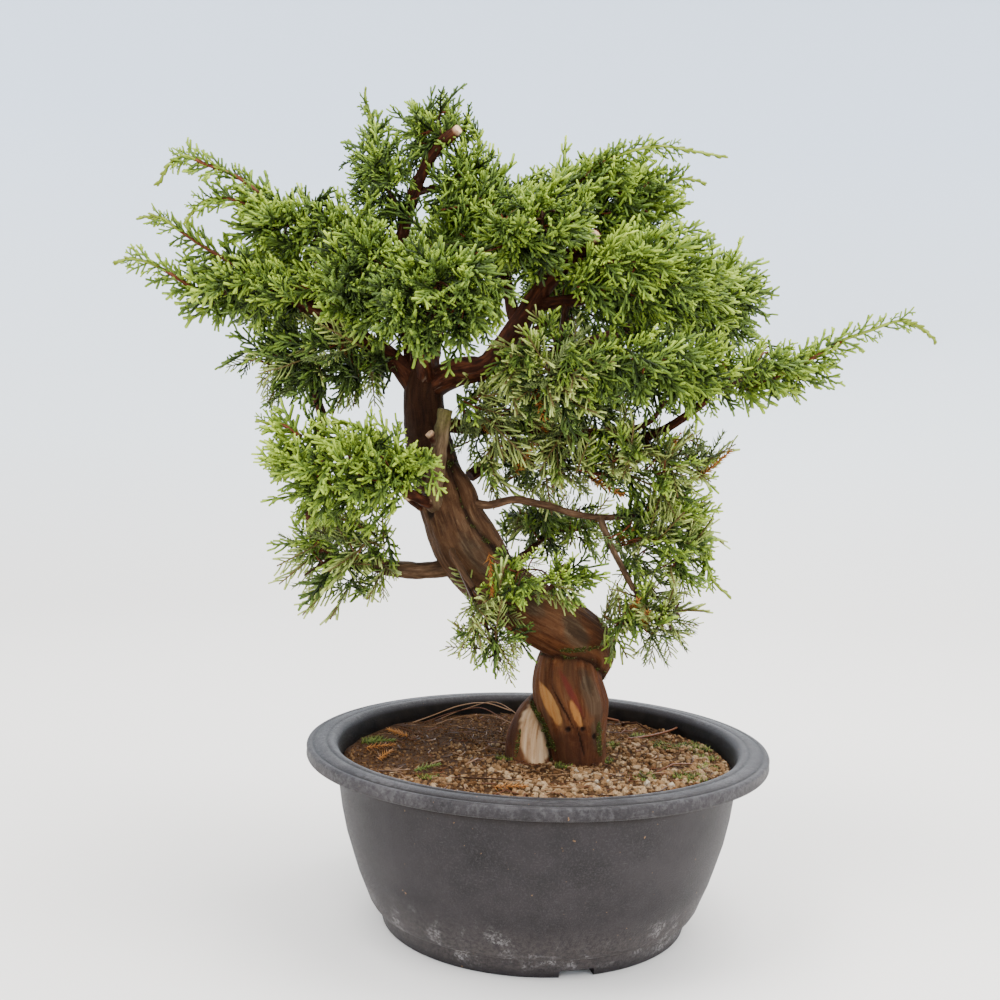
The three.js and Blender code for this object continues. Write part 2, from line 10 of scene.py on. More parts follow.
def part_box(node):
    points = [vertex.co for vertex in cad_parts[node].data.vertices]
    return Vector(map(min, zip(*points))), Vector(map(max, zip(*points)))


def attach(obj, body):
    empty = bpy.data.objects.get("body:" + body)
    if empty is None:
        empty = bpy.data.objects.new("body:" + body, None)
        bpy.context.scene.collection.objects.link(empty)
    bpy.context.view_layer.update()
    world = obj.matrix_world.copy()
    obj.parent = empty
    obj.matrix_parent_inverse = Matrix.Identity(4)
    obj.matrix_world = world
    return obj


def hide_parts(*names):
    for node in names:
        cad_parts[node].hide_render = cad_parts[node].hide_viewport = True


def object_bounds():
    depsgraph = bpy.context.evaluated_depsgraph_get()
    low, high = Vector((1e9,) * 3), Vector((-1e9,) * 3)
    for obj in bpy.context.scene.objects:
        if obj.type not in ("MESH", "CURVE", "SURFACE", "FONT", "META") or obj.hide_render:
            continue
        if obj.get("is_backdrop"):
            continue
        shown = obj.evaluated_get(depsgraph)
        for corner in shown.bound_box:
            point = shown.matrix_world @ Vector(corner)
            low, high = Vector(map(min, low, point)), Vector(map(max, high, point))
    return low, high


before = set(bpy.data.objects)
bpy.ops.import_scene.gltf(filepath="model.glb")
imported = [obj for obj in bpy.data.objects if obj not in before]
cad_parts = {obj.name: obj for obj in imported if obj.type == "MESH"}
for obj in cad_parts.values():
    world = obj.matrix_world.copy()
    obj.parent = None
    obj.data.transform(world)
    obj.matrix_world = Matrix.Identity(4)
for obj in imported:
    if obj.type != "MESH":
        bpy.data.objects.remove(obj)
cad_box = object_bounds()

# The plant's places are millimetres from the pot's axis at the height of the table, +X right
# and +Y away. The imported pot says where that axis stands.
MM = 0.001
pot_low, pot_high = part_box("pot")
POT_AXIS = Vector(((pot_low.x + pot_high.x) / 2, (pot_low.y + pot_high.y) / 2, 0))
AXIS_ROW = np.array(POT_AXIS)


def place(x, y, z):
    return POT_AXIS + Vector((x, y, z)) * MM


# Camera: close to the pot and a little above the middle of the trunk, as in the photograph,
# with the slight turn, fall and tilt that it was held at.
CAMERA_PLACE = (0, -623.1, 247)
CAMERA_TURN = math.radians(2.11)
CAMERA_FALL = math.radians(2.65)
CAMERA_TILT = math.radians(1.60)
CAMERA_LENS = 42.97


def shown(name, data):
    """An object with that name and data, in the scene."""
    piece = bpy.data.objects.new(name, data)
    bpy.context.scene.collection.objects.link(piece)
    return piece


camera = shown("camera", bpy.data.cameras.new("camera"))
bpy.context.scene.camera = camera
camera.data.lens = CAMERA_LENS
camera.data.clip_start = 0.01
turn = Matrix.Rotation(CAMERA_TURN, 4, "Z")
level = Matrix.Rotation(math.pi / 2 - CAMERA_FALL, 4, "X")
tilt = Matrix.Rotation(CAMERA_TILT, 4, "Z")
camera.matrix_world = Matrix.Translation(place(*CAMERA_PLACE)) @ turn @ level @ tilt

# Pot: a round training pot of black plastic, blown or pressed in one piece, with a wide rim
# that turns over at its edge and a foot set in under a ledge. Three notches in the foot let
# water out. Handling has greyed the rim, and hard water has left white lime near the foot.
POT_STEPS = 160
NOTCH_SIZE = (28, 17, 8)
NOTCH_ROUNDING = 1.2
NOTCH_PLACE = 75.3
NOTCH_ANGLES = (-74, 46, 166)
RIM_GROOVES = (0.10965, 0.11665)
GROOVE_OUTER = 0.001
GROOVE_INNER = 0.0004
CRISP_ANGLE = math.radians(50)
outside = [
    (71.8, 0), (78.4, 0), (79, 0.5), (80.4, 5), (82, 9.4), (82.6, 10.2), (84.2, 10.6), (84.9, 11.3),
    (86.6, 14), (89.3, 20.7), (92.3, 28), (95.2, 37), (98.6, 48), (101.2, 60), (103, 72),
    (104.3, 84), (105.2, 86), (107.4, 86.9), (117.2, 86.5), (118.7, 86.3), (119.6, 86.7), (119.9, 87.4),
    (119.7, 88.2), (119.9, 91.2), (119.5, 92.1), (118.8, 92.5), (117.6, 92.6), (117, 92.3), (116.3, 92.3),
    (115.7, 92.9), (110.6, 93.4), (110, 93.1), (109.3, 93.1), (108.6, 93.5), (107.3, 93.5),
]
inside = [
    (106, 93.1), (104.4, 91.6), (102.6, 88.5), (101.6, 85), (100.3, 72), (98.4, 60), (92.4, 37),
    (86.5, 20.7), (80.5, 9), (76, 6.8), (12, 6.8), (12, 4), (71.2, 4), (71.8, 3.4),
]


def spun(bm, corners, edges, steps):
    """The edges are turned right round the upright axis."""
    bmesh.ops.spin(
        bm, geom=corners + edges, cent=(0, 0, 0), axis=(0, 0, 1),
        angle=math.tau, steps=steps, use_merge=True,
    )
    bmesh.ops.recalc_face_normals(bm, faces=bm.faces)


def ring_wall(bm, profile, steps):
    """A closed section of (radius, height) turned right round the pot's axis."""
    corners = [bm.verts.new((radius * MM, 0, height * MM)) for radius, height in profile]
    spun(bm, corners, [bm.edges.new(pair) for pair in zip(corners, corners[1:] + corners[:1])], steps)


def smoothed(piece):
    for face in piece.data.polygons:
        face.use_smooth = True


def finished(bm, name):
    """The bmesh becomes an object of that name, moved so that its own centre is the pot's axis."""
    mesh = bpy.data.meshes.new(name)
    bm.to_mesh(mesh)
    bm.free()
    mesh.transform(Matrix.Translation(POT_AXIS))
    piece = shown(name, mesh)
    smoothed(piece)
    return piece


def apply_modifiers(piece):
    """The piece keeps the mesh that its modifiers make, and the modifiers go."""
    graph = bpy.context.evaluated_depsgraph_get()
    made = bpy.data.meshes.new_from_object(piece.evaluated_get(graph))
    piece.modifiers.clear()
    piece.data = made


class Finish:
    """A material with one Principled shader, and short ways to lay patterns into it."""

    def __init__(self, name, colour=(0.5, 0.5, 0.5), roughness=0.6, shine=0.1):
        self.material = bpy.data.materials.new(name)
        self.material.use_nodes = True
        self.shader = self.material.node_tree.nodes["Principled BSDF"]
        self.feed(self.shader, {"Base Color": colour, "Roughness": roughness, "Specular IOR Level": shine})
        self.place = self.node("TexCoord").outputs["Object"]

    def feed(self, node, inputs):
        """Each input takes a number, a colour, a place, or the socket that drives it."""
        for name, value in inputs.items():
            target = node.inputs[name]
            if isinstance(value, bpy.types.NodeSocket):
                self.material.node_tree.links.new(value, target)
            elif isinstance(value, tuple) and len(target.default_value) == 4:
                target.default_value = (*value, 1)
            else:
                target.default_value = value

    def node(self, kind, inputs=None, **settings):
        node = self.material.node_tree.nodes.new("ShaderNode" + kind)
        for name, value in settings.items():
            setattr(node, name, value)
        self.feed(node, inputs or {})
        return node

    def to(self, socket, target):
        self.feed(self.shader, {target: socket})

    def attribute(self, name, output="Fac"):
        return self.node("Attribute", attribute_name=name).outputs[output]

    def noise(self, scale, detail=4, roughness=0.55, where=None, distortion=0):
        return self.node("TexNoise", {
            "Vector": where or self.place, "Scale": scale, "Detail": detail, "Roughness": roughness,
            "Distortion": distortion}).outputs["Fac"]

    def stretch(self, scale, where=None):
        return self.node("Mapping", {"Vector": where or self.place, "Scale": scale}).outputs["Vector"]

    def ramp(self, value, *stops):
        """Colours for a value, from stops of a value and its colour."""
        node = self.node("ValToRGB", {"Fac": value})
        elements = node.color_ramp.elements
        for number, (position, colour) in enumerate((stops[0], stops[-1])):
            elements[number].position, elements[number].color = position, (*colour, 1)
        for position, colour in stops[1:-1]:
            elements.new(position).color = (*colour, 1)
        return node.outputs["Color"]

    def between(self, value, low, high, out_low=0, out_high=1):
        return self.node("MapRange", {
            "Value": value, "From Min": low, "From Max": high, "To Min": out_low, "To Max": out_high,
        }, interpolation_type="SMOOTHSTEP").outputs["Result"]

    def blotches(self, grain, *limits):
        """Noise of that scale, detail and roughness, eased between limits."""
        return self.between(self.noise(*grain), *limits)

    def times(self, first, *others):
        for other in others:
            first = self.node("Math", {0: first, 1: other}, operation="MULTIPLY").outputs["Value"]
        return first

    def plus(self, first, second):
        return self.node("Math", {0: first, 1: second}, operation="ADD").outputs["Value"]

    def mix(self, factor, first, second):
        return self.node("Mix", {0: factor, 6: first, 7: second}, data_type="RGBA").outputs[2]

    def coat(self, colour, share=None):
        """Lays a colour over all that is there, or over a share of it."""
        self.colour = colour if share is None else self.mix(share, self.colour, colour)
        self.to(self.colour, "Base Color")

    def coat_marks(self, *marks):
        """Coats of (painted pattern, how strong, colour)."""
        for name, strength, colour in marks:
            self.coat(colour, self.times(self.attribute(name), strength))

    def height(self):
        return self.node("SeparateXYZ", {"Vector": self.place}).outputs["Z"]

    def from_axis(self):
        """How far a place is from the pot's axis, in metres."""
        flat = self.node("Mapping", {
            "Vector": self.place, "Location": (-POT_AXIS.x, -POT_AXIS.y, 0), "Scale": (1, 1, 0)})
        return self.node("VectorMath", {0: flat.outputs["Vector"]}, operation="LENGTH").outputs["Value"]

    def bump(self, value, distance, strength=1):
        node = self.node("Bump", {"Distance": distance, "Strength": strength, "Height": value})
        self.to(node.outputs["Normal"], "Normal")


def pot_plastic():
    finish = Finish("pot_plastic", roughness=0.5)
    between, blotches, times = finish.between, finish.blotches, finish.times
    height, round_out = finish.height(), finish.from_axis()
    finish.coat(finish.ramp(
        finish.noise(46, 6, 0.62), (0.3, (0.0105, 0.0086, 0.0092)), (0.7, (0.024, 0.0198, 0.0208))))
    scuffs = finish.noise(1100, 5, 0.75)
    finish.coat((0.042, 0.037, 0.0385), times(between(scuffs, 0.46, 0.66), 0.7))
    scratches = blotches((260, 3, 0.6, finish.stretch((1, 1, 6))), 0.66, 0.72)
    finish.coat((0.075, 0.069, 0.068), times(scratches, 0.4))
    rim = times(between(height, 0.0845, 0.0925), between(round_out, 0.1035, 0.107))
    patches = blotches((24, 3, 0.6), 0.4, 0.6, 0.25, 1)
    greyed = times(rim, blotches((400, 6, 0.7), 0.38, 0.64, 0.1, 0.95), patches)
    finish.coat((0.062, 0.057, 0.058), greyed)
    edge = times(between(round_out, 0.1165, 0.1195), between(height, 0.084, 0.088))
    finish.coat((0.105, 0.098, 0.098), times(edge, blotches((300, 6, 0.7), 0.48, 0.62), 0.28))
    for middle in RIM_GROOVES:
        groove = times(between(round_out, middle - GROOVE_OUTER, middle - GROOVE_INNER),
                       between(round_out, middle + GROOVE_OUTER, middle + GROOVE_INNER))
        finish.coat((0.009, 0.008, 0.008), times(groove, 0.65))
    low = times(between(height, 0.034, 0.012), between(height, 0.001, 0.006))
    dusty = times(low, blotches((500, 6, 0.7), 0.35, 0.65, 0.1, 0.8))
    finish.coat((0.062, 0.051, 0.048), dusty)
    speckled = times(blotches((70, 4), 0.5, 0.66), blotches((700, 6, 0.75), 0.46, 0.6))
    finish.coat((0.26, 0.245, 0.24), times(low, speckled, 0.8))
    dirt = blotches((420, 2, 0.5), 0.745, 0.765)
    finish.coat((0.20, 0.105, 0.045), times(dirt, 0.8))
    # Painted shade: the inside of the wall above the soil is coated a deep brownish dark, and shines less.
    inner = times(between(height, 0.078, 0.082), between(round_out, 0.105, 0.103))
    painted_inner_shade = finish.ramp(finish.noise(120, 5), (0.3, (0.0028, 0.002, 0.0014)), (0.7, (0.012, 0.008, 0.0052)))
    finish.coat(painted_inner_shade, times(inner, 0.95))
    finish.to(between(inner, 0, 1, 0.18, 0.05), "Specular IOR Level")
    finish.to(between(scuffs, 0.35, 0.7, 0.46, 0.66), "Roughness")
    finish.bump(scuffs, 0.0003, 0.7)
    return finish.material


bm = bmesh.new()
ring_wall(bm, outside + inside, POT_STEPS)
pot = finished(bm, "pot_body")
for angle in NOTCH_ANGLES:
    bm = bmesh.new()
    bmesh.ops.create_cube(bm, size=1)
    bmesh.ops.scale(bm, vec=Vector(NOTCH_SIZE) * MM, verts=bm.verts)
    bmesh.ops.bevel(
        bm, geom=bm.edges, offset=NOTCH_ROUNDING * MM, segments=3, affect="EDGES", profile=0.5, material=-1)
    bmesh.ops.translate(bm, vec=(NOTCH_PLACE * MM, 0, 0), verts=bm.verts)
    bmesh.ops.rotate(bm, matrix=Matrix.Rotation(math.radians(angle), 3, "Z"), verts=bm.verts)
    cutter = finished(bm, "notch_cutter")
    notch = pot.modifiers.new("notch", "BOOLEAN")
    notch.object = cutter
    notch.solver = "EXACT"
    apply_modifiers(pot)
    bpy.data.objects.remove(cutter)
pot.data.materials.clear()
pot.data.materials.append(pot_plastic())
pot.modifiers.new("crisp_edges", "EDGE_SPLIT").split_angle = CRISP_ANGLE
apply_modifiers(pot)
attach(pot, "root")
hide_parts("pot")

# Soil: a free-draining mix of tan pumice and burnt clay grains over dark fines. It is packed to
# the wall, a little below the rim, and rises slightly towards the trunk.
SOIL_LEVEL = 84.5
SOIL_EDGE = 83
SOIL_RADIUS = 101
BED_RINGS = 40
BED_SIDES = 96
GRAINS = 7600
GRAIN_RADIUS = (0.5, 2.6)
GRAIN_SHAPES = 6
soil_random = random.Random(3)


def soil_height(x, y):
    """Millimetres above the table of the top of the soil, with its small rises and hollows."""
    out = math.hypot(x, y) / SOIL_RADIUS
    slope = SOIL_LEVEL - (SOIL_LEVEL - SOIL_EDGE) * max(0, out - 0.6) / 0.4
    return slope + 1.5 * noise.noise(Vector((x, y, 7)) / 26) + 0.5 * noise.noise(Vector((x, y, 2)) / 7)


def soil_bed_finish():
    finish = Finish("soil_fines", roughness=0.95)
    finish.coat(finish.ramp(
        finish.noise(420, 7, 0.7),
        (0.3, (0.012, 0.0048, 0.0018)), (0.5, (0.046, 0.021, 0.008)), (0.7, (0.12, 0.06, 0.024))))
    finish.bump(finish.noise(700, 6, 0.7), 0.0012)
    return finish.material


soil_section = [(radius, SOIL_LEVEL) for radius in np.linspace(0.1, SOIL_RADIUS, BED_RINGS)]
soil_section += [(98.1, 60), (86.2, 20.7), (78.6, 7.1), (0.1, 7.1)]
bm = bmesh.new()
ring_wall(bm, soil_section, BED_SIDES)
for vertex in bm.verts:
    if vertex.co.z > SOIL_LEVEL * MM - 1e-5:
        vertex.co.z = soil_height(vertex.co.x / MM, vertex.co.y / MM) * MM
bed = finished(bm, "soil_bed")
bed.data.materials.append(soil_bed_finish())
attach(bed, "root")
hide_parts("soil")


def gathered(parts):
    """Parts as one. A part is its vertices, its triangles and their material numbers."""
    starts = np.cumsum([0] + [len(vertices) for vertices, _, _ in parts[:-1]])
    return (
        np.concatenate([vertices for vertices, _, _ in parts]),
        np.concatenate([triangles + start for (_, triangles, _), start in zip(parts, starts)]),
        np.concatenate([numbers for _, _, numbers in parts]),
    )


def joined(name, parts, materials, smooth=True):
    """One object out of many small parts."""
    vertices, triangles, numbers = gathered(parts)
    mesh = bpy.data.meshes.new(name)
    mesh.vertices.add(len(vertices))
    mesh.vertices.foreach_set("co", vertices.astype(np.float32).ravel())
    mesh.loops.add(triangles.size)
    mesh.loops.foreach_set("vertex_index", triangles.astype(np.int32).ravel())
    mesh.polygons.add(len(triangles))
    mesh.polygons.foreach_set("loop_start", np.arange(0, triangles.size, 3, dtype=np.int32))
    mesh.update(calc_edges=True)
    mesh.polygons.foreach_set("material_index", numbers.astype(np.int32))
    mesh.polygons.foreach_set("use_smooth", np.full(len(triangles), smooth))
    for material in materials:
        mesh.materials.append(material)
    return shown(name, mesh)


def copies(template, turns, places, tones):
    """A part with one copy of the template for each turn and place, in metres. tones are added
    to the template's own material numbers."""
    vertices, triangles, numbers = template
    moved = np.einsum("kij,nj->kni", turns, vertices) + places[:, None, :]
    faces = triangles[None] + (np.arange(len(places)) * len(vertices))[:, None, None]
    dealt = numbers[None] + np.asarray(tones)[:, None]
    return moved.reshape(-1, 3), faces.reshape(-1, 3), dealt.reshape(-1)


def grain_template(seed):
    """A broken lump with twenty faces and a radius of about one."""
    shape_random = random.Random(seed)
    bm = bmesh.new()
    bmesh.ops.create_icosphere(bm, subdivisions=1, radius=1)
    for vertex in bm.verts:
        vertex.co *= shape_random.uniform(0.78, 1.15)
    vertices = np.array([vertex.co[:] for vertex in bm.verts])
    triangles = np.array([[corner.index for corner in face.verts] for face in bm.faces])
    bm.free()
    return vertices, triangles, np.zeros(len(triangles), int)


def any_turn(rng):
    angle = rng.uniform(0, math.tau)
    return np.array(Matrix.Rotation(angle, 3, Vector((rng.gauss(0, 1), rng.gauss(0, 1), rng.gauss(0, 1)))))


def grain_finish(name, dark, light):
    finish = Finish(name, roughness=0.9)
    finish.coat(finish.ramp(finish.noise(900, 4, 0.6), (0.35, dark), (0.7, light)))
    return finish.material


grain_finishes = [
    grain_finish("grain_dark", (0.024, 0.0095, 0.0036), (0.062, 0.027, 0.01)),
    grain_finish("grain_brown", (0.06, 0.026, 0.009), (0.135, 0.064, 0.024)),
    grain_finish("grain_tan", (0.12, 0.06, 0.024), (0.24, 0.14, 0.066)),
    grain_finish("grain_pumice", (0.2, 0.12, 0.056), (0.35, 0.245, 0.145)),
    grain_finish("grain_pale", (0.25, 0.185, 0.12), (0.45, 0.37, 0.27)),
]
lumps = [grain_template(seed) for seed in range(GRAIN_SHAPES)]
scatter = [([], [], []) for _ in lumps]
for index in range(GRAINS):
    out = math.sqrt(soil_random.random()) * (SOIL_RADIUS - 1.5)
    round_angle = soil_random.uniform(0, math.tau)
    x, y = out * math.cos(round_angle), out * math.sin(round_angle)
    coarse = 0.5 + x / 240 - y / 200 + 0.5 * noise.noise(Vector((x, y, 5)) / 24)
    coarse = min(1, max(0, coarse + soil_random.uniform(-0.25, 0.25)))
    radius = GRAIN_RADIUS[0] + (GRAIN_RADIUS[1] - GRAIN_RADIUS[0]) * coarse * soil_random.random() ** 2.2
    tone = min(4, int(coarse * 1.95 + soil_random.random() * 2.1))
    squash = Matrix.Diagonal((
        radius, radius * soil_random.uniform(0.7, 1), radius * soil_random.uniform(0.55, 0.9)))
    turns, places, tones = scatter[index % len(lumps)]
    turns.append(any_turn(soil_random) @ np.array(squash) * MM)
    lift = soil_random.uniform(-0.1, 0.55) * radius
    places.append(np.array(place(x, y, soil_height(x, y) + lift)))
    tones.append(tone)
grains = joined("soil_grains", [
    copies(lump, np.array(turns), np.array(places), tones)
    for lump, (turns, places, tones) in zip(lumps, scatter)
], grain_finishes, smooth=False)
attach(grains, "root")
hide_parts("soil")

# Trunk: four strands that grew together, under thin bark with a lengthwise grain. The base
# strand is polished where old bark was peeled off it, and the dead stub beside it is bare pale
# wood. Moss lives in the creases.
STRAND_STEP = 1.5
TRUNK_VOXEL = 0.75
BLOCK = 4000
strands = {
    "base": (
        [(22, -5, 80), (20, -3, 96), (18, 0, 111), (15, 2, 123), (16, 6, 133), (22, 9, 141)],
        [14.5, 16, 19.5, 18.5, 16.5, 14],
    ),
    "stub": ([(-4, -6, 80), (-4, -2, 95), (0, 5, 106), (9, 10, 115)], [12.5, 11.5, 9, 6]),
    "upper": (
        [(24, 12, 127), (26, 7, 141), (14, 1, 150), (-5, -3, 161), (-23, -2, 174), (-40, 0, 191),
         (-50, 2, 211), (-57, 4, 233), (-63, 5, 254), (-65, 5, 272), (-63, 5, 286)],
        [11, 14, 16, 15.5, 15.5, 16, 14, 12.5, 11.5, 10.5, 9],
    ),
    "side": (
        [(-14, -3, 176), (-28, -7, 200), (-36, -8, 213), (-40, -8, 224), (-48, -3, 235)],
        [5, 4.6, 4.2, 3.8, 2.5],
    ),
}


def smooth_line(points, step=STRAND_STEP):
    """Points every few millimetres along the smooth curve that the limbs follow."""
    rows = np.array(points, float)
    rows = np.vstack([2 * rows[0] - rows[1], rows, 2 * rows[-1] - rows[-2]])
    spans = len(points) - 1
    length = np.linalg.norm(np.diff(rows[1:-1], axis=0), axis=1).sum()
    line = []
    for share in np.linspace(0, 1, max(4, int(length / step)) + 1):
        span = min(int(share * spans), spans - 1)
        w = share * spans - span
        p0, p1, p2, p3 = rows[span:span + 4]
        d0, d1, d2 = (math.sqrt(max(np.linalg.norm(b - a), 1e-4)) for a, b in ((p0, p1), (p1, p2), (p2, p3)))
        t1 = ((p1 - p0) / d0 - (p2 - p0) / (d0 + d1) + (p2 - p1) / d1) * d1
        t2 = ((p2 - p1) / d1 - (p3 - p1) / (d1 + d2) + (p3 - p2) / d2) * d1
        line.append(p1 + t1 * w + (3 * (p2 - p1) - 2 * t1 - t2) * w ** 2 + (2 * (p1 - p2) + t1 + t2) * w ** 3)
    return np.array(line)


def along(values, count):
    """A list of values read off evenly at count places."""
    return np.interp(np.linspace(0, 1, count), np.linspace(0, 1, len(values)), values)


def limb_of_points(points, radii, step):
    line = smooth_line(points, step)
    return line, along(radii, len(line))


def line_frames(line):
    """The direction, and two directions across it that don't twist, at each point of a line."""
    directions = np.gradient(line, axis=0)
    directions /= np.linalg.norm(directions, axis=1)[:, None]
    across, sides = np.array([0.9, 0.3, 0.2]), []
    for direction in directions:
        across = across - direction * (across @ direction)
        across = across / np.linalg.norm(across)
        sides.append(across)
    sides = np.array(sides)
    return directions, sides, np.cross(directions, sides)


def limb_curve(name, lines, resolution):
    """One closed tube for each (line, radii), as a mesh object."""
    curve = bpy.data.curves.new(name, "CURVE")
    curve.dimensions = "3D"
    curve.bevel_depth = MM
    curve.bevel_resolution = resolution
    curve.use_fill_caps = True
    for line, radii in lines:
        spline = curve.splines.new("POLY")
        spline.points.add(len(line) - 1)
        for point, spot, radius in zip(spline.points, line, radii):
            point.co = (*place(*spot), 1)
            point.radius = radius
    holder = shown(name, curve)
    bpy.context.view_layer.update()
    mesh = bpy.data.meshes.new_from_object(holder)
    bpy.data.objects.remove(holder)
    return shown(name, mesh)


def weld(piece, size):
    """The piece's overlapping tubes become one closed skin with faces of about that size."""
    skin = piece.modifiers.new("skin", "REMESH")
    skin.mode = "VOXEL"
    skin.voxel_size = size * MM
    apply_modifiers(piece)
    piece.modifiers.new("rounding", "SMOOTH").iterations = 2
    apply_modifiers(piece)


def grain_of(points, lines):
    """For each point: its place in the wood's own grain (two across, one along, in millimetres),
    how much nearer it lies to its own limb than to any other, and that limb's number."""
    spots = np.concatenate([line for line, _ in lines])
    radii = np.concatenate([radius for _, radius in lines])
    owner = np.concatenate([np.full(len(line), number) for number, (line, _) in enumerate(lines)])
    _, sides, beside = (np.concatenate(rows) for rows in zip(*(line_frames(line) for line, _ in lines)))
    lengths = np.concatenate([
        np.concatenate([[0], np.cumsum(np.linalg.norm(np.diff(line, axis=0), axis=1))]) + 400 * number
        for number, (line, _) in enumerate(lines)
    ])
    grain, margin, owners = [], [], []
    for first in range(0, len(points), BLOCK):
        block = points[first:first + BLOCK]
        depth = np.linalg.norm(block[:, None, :] - spots[None], axis=2) - radii[None]
        ranked = np.sort([depth[:, owner == number].min(1) for number in range(len(lines))], axis=0)
        nearest = depth.argmin(1)
        offset = block - spots[nearest]
        angle = np.arctan2((offset * beside[nearest]).sum(1), (offset * sides[nearest]).sum(1))
        size = radii[nearest]
        grain.append(np.stack([size * np.cos(angle), size * np.sin(angle), lengths[nearest]], 1))
        margin.append(ranked[1] - ranked[0])
        owners.append(owner[nearest])
    return np.concatenate(grain), np.concatenate(margin), np.concatenate(owners)


def mesh_points(mesh):
    """A mesh's points and normals, in millimetres from the pot's axis."""
    points, normals = np.zeros((2, len(mesh.vertices) * 3))
    mesh.vertices.foreach_get("co", points)
    mesh.vertex_normals.foreach_get("vector", normals)
    return (points.reshape(-1, 3) - AXIS_ROW) / MM, normals.reshape(-1, 3)


def push_out(mesh, points, normals, amount):
    moved = points + normals * np.asarray(amount)[:, None]
    mesh.vertices.foreach_set("co", (moved * MM + AXIS_ROW).ravel())
    mesh.update()


def paint(mesh, **patterns):
    """Patterns laid on the mesh's own points: a number or a place at each."""
    for name, values in patterns.items():
        kind, field = ("FLOAT", "value") if values.ndim == 1 else ("FLOAT_VECTOR", "vector")
        mesh.attributes.new(name, kind, "POINT").data.foreach_set(field, values.ravel())


def ripple(grain, across, along_grain, seed=0):
    """Noise drawn out along the grain, from -1 to 1, with features of that size across and along."""
    scale = np.array([1 / across, 1 / across, 1 / along_grain])
    return np.array([noise.noise(Vector(row) + Vector((0, 0, 31 * seed))) for row in grain * scale])


def ease(values, low, high):
    share = np.clip((values - low) / (high - low), 0, 1)
    return share * share * (3 - 2 * share)


trunk_lines = [limb_of_points(points, radii, STRAND_STEP) for points, radii in strands.values()]
trunk = limb_curve("trunk_wood", trunk_lines, 8)
weld(trunk, TRUNK_VOXEL)
points, normals = mesh_points(trunk.data)
height = points[:, 2]
grain, margin, strand_of = grain_of(points, trunk_lines)
on_strand = {name: strand_of == number for number, name in enumerate(strands)}

# Marks on the trunk, by kind: place on its face (x, z), half width and height, lean in degrees,
# and the side that they are on.
FRONT, BACK = -1, 1
marks = {
    "peeled": [(6.8, 114, 3.4, 12.5, -30, FRONT), (19.6, 111, 2.1, 8.5, -24, FRONT),
               (24, 112, 4, 14, 22, BACK), (8, 104, 3, 10, 18, BACK)],
    "crimson": [(17, 121, 1.8, 13.5, -30, FRONT), (30, 118, 2, 9, 20, BACK)],
    "dark": [(20, 91, 18, 13, 0, FRONT), (20, 90, 18, 12, 0, BACK), (-15, 92, 5, 18, 8, FRONT)],
    "knot": [(15.7, 102.6, 1.5, 1.5, 0, FRONT), (23.3, 103.2, 1.3, 1.3, 0, FRONT),
             (29, 99, 1.3, 1.8, 0, FRONT), (-58.7, 211.5, 2.6, 4, 0, FRONT),
             (-43.3, 178.8, 2.2, 2.2, 0, FRONT), (-34, 196, 1.8, 2.6, 20, BACK)],
    "crack": [(22.5, 96.6, 0.5, 9, -16, FRONT), (13.2, 113, 0.45, 13, -30, FRONT)],
    "grey": [(27, 119, 4.6, 16, -20, FRONT), (30, 100, 3, 10, -6, FRONT), (14, 122, 8, 10, 20, BACK),
             (18, 152, 12, 6, 60, FRONT), (-4, 166, 9, 5, 50, FRONT), (-34, 190, 5, 14, -40, FRONT)],
    "moss": [(31.6, 97, 1.6, 10, -3, FRONT), (0.5, 107, 1.8, 8, -38, FRONT), (6.6, 96, 1.9, 8, -28, FRONT),
             (20, 143.2, 12, 1.4, -4, FRONT), (-9.5, 93, 1, 8, 8, FRONT), (4, 96, 3, 9, 20, BACK),
             (-18, 166, 8, 4, 35, FRONT)],
    "pale": [(-1.2, 96, 8, 16, -12, FRONT)],
}
waver = np.array([noise.noise(Vector(row) / 3.5) for row in points])


def mark_cover(x, z, half_width, half_height, lean, side):
    """How much one mark covers each point of the trunk, with an uneven edge."""
    cosine, sine = math.cos(math.radians(lean)), math.sin(math.radians(lean))
    dx, dz = points[:, 0] - x, height - z
    distance = np.hypot((dx * cosine - dz * sine) / half_width, (dx * sine + dz * cosine) / half_height)
    return (1 - ease(distance + 0.16 * waver, 0.62, 1.14)) * ease(side * normals[:, 1], 0.0, 0.25)


painted = {kind: np.max([mark_cover(*mark) for mark in rows], axis=0) for kind, rows in marks.items()}
painted["peeled"] *= on_strand["base"] * (1 - painted["dark"])
# Creases where two strands meet: they hold moss, and the dark laid on them is painted shade.
painted["crease"] = 1 - ease(margin, 0.6, 3.2)
painted["deadwood"] = painted.pop("pale") * on_strand["stub"] * (1 - painted["moss"])
in_creases = painted["crease"] * ease(height + 4 * waver, 70, 96) * ease(waver, 0.05, 0.4)
painted["moss"] = np.maximum(painted["moss"], in_creases)
flakes = ease(ripple(grain, 6, 17, 2), -0.08, 0.06)
relief = 0.75 * ripple(grain, 5.5, 42) + 0.30 * ripple(grain, 1.7, 15, 1)
amount = relief + 0.45 * flakes * (1 - painted["deadwood"])
amount = amount * (1 - 0.75 * painted["peeled"]) - 0.45 * painted["peeled"]
amount -= 1.1 * painted["crack"] + 1.0 * painted["knot"] * (1 - painted["peeled"])
amount += 0.5 * painted["moss"] * np.abs(ripple(points, 1.3, 1.3, 3)) * 2
push_out(trunk.data, points, normals, amount * (1 - 0.4 * ease(height, 200, 270)))
upper = np.maximum(on_strand["side"], on_strand["upper"] * ease(height, 130, 190))
# Towards the top of the trunk the bark turns a dark red-brown like the boughs', darkened further by painted
# shade from the crown.
dusk = ease(height + 14 * waver, 216, 258)
paint(trunk.data, **painted, grain=grain * MM, flakes=flakes, upper=upper, dusk=dusk)
smoothed(trunk)


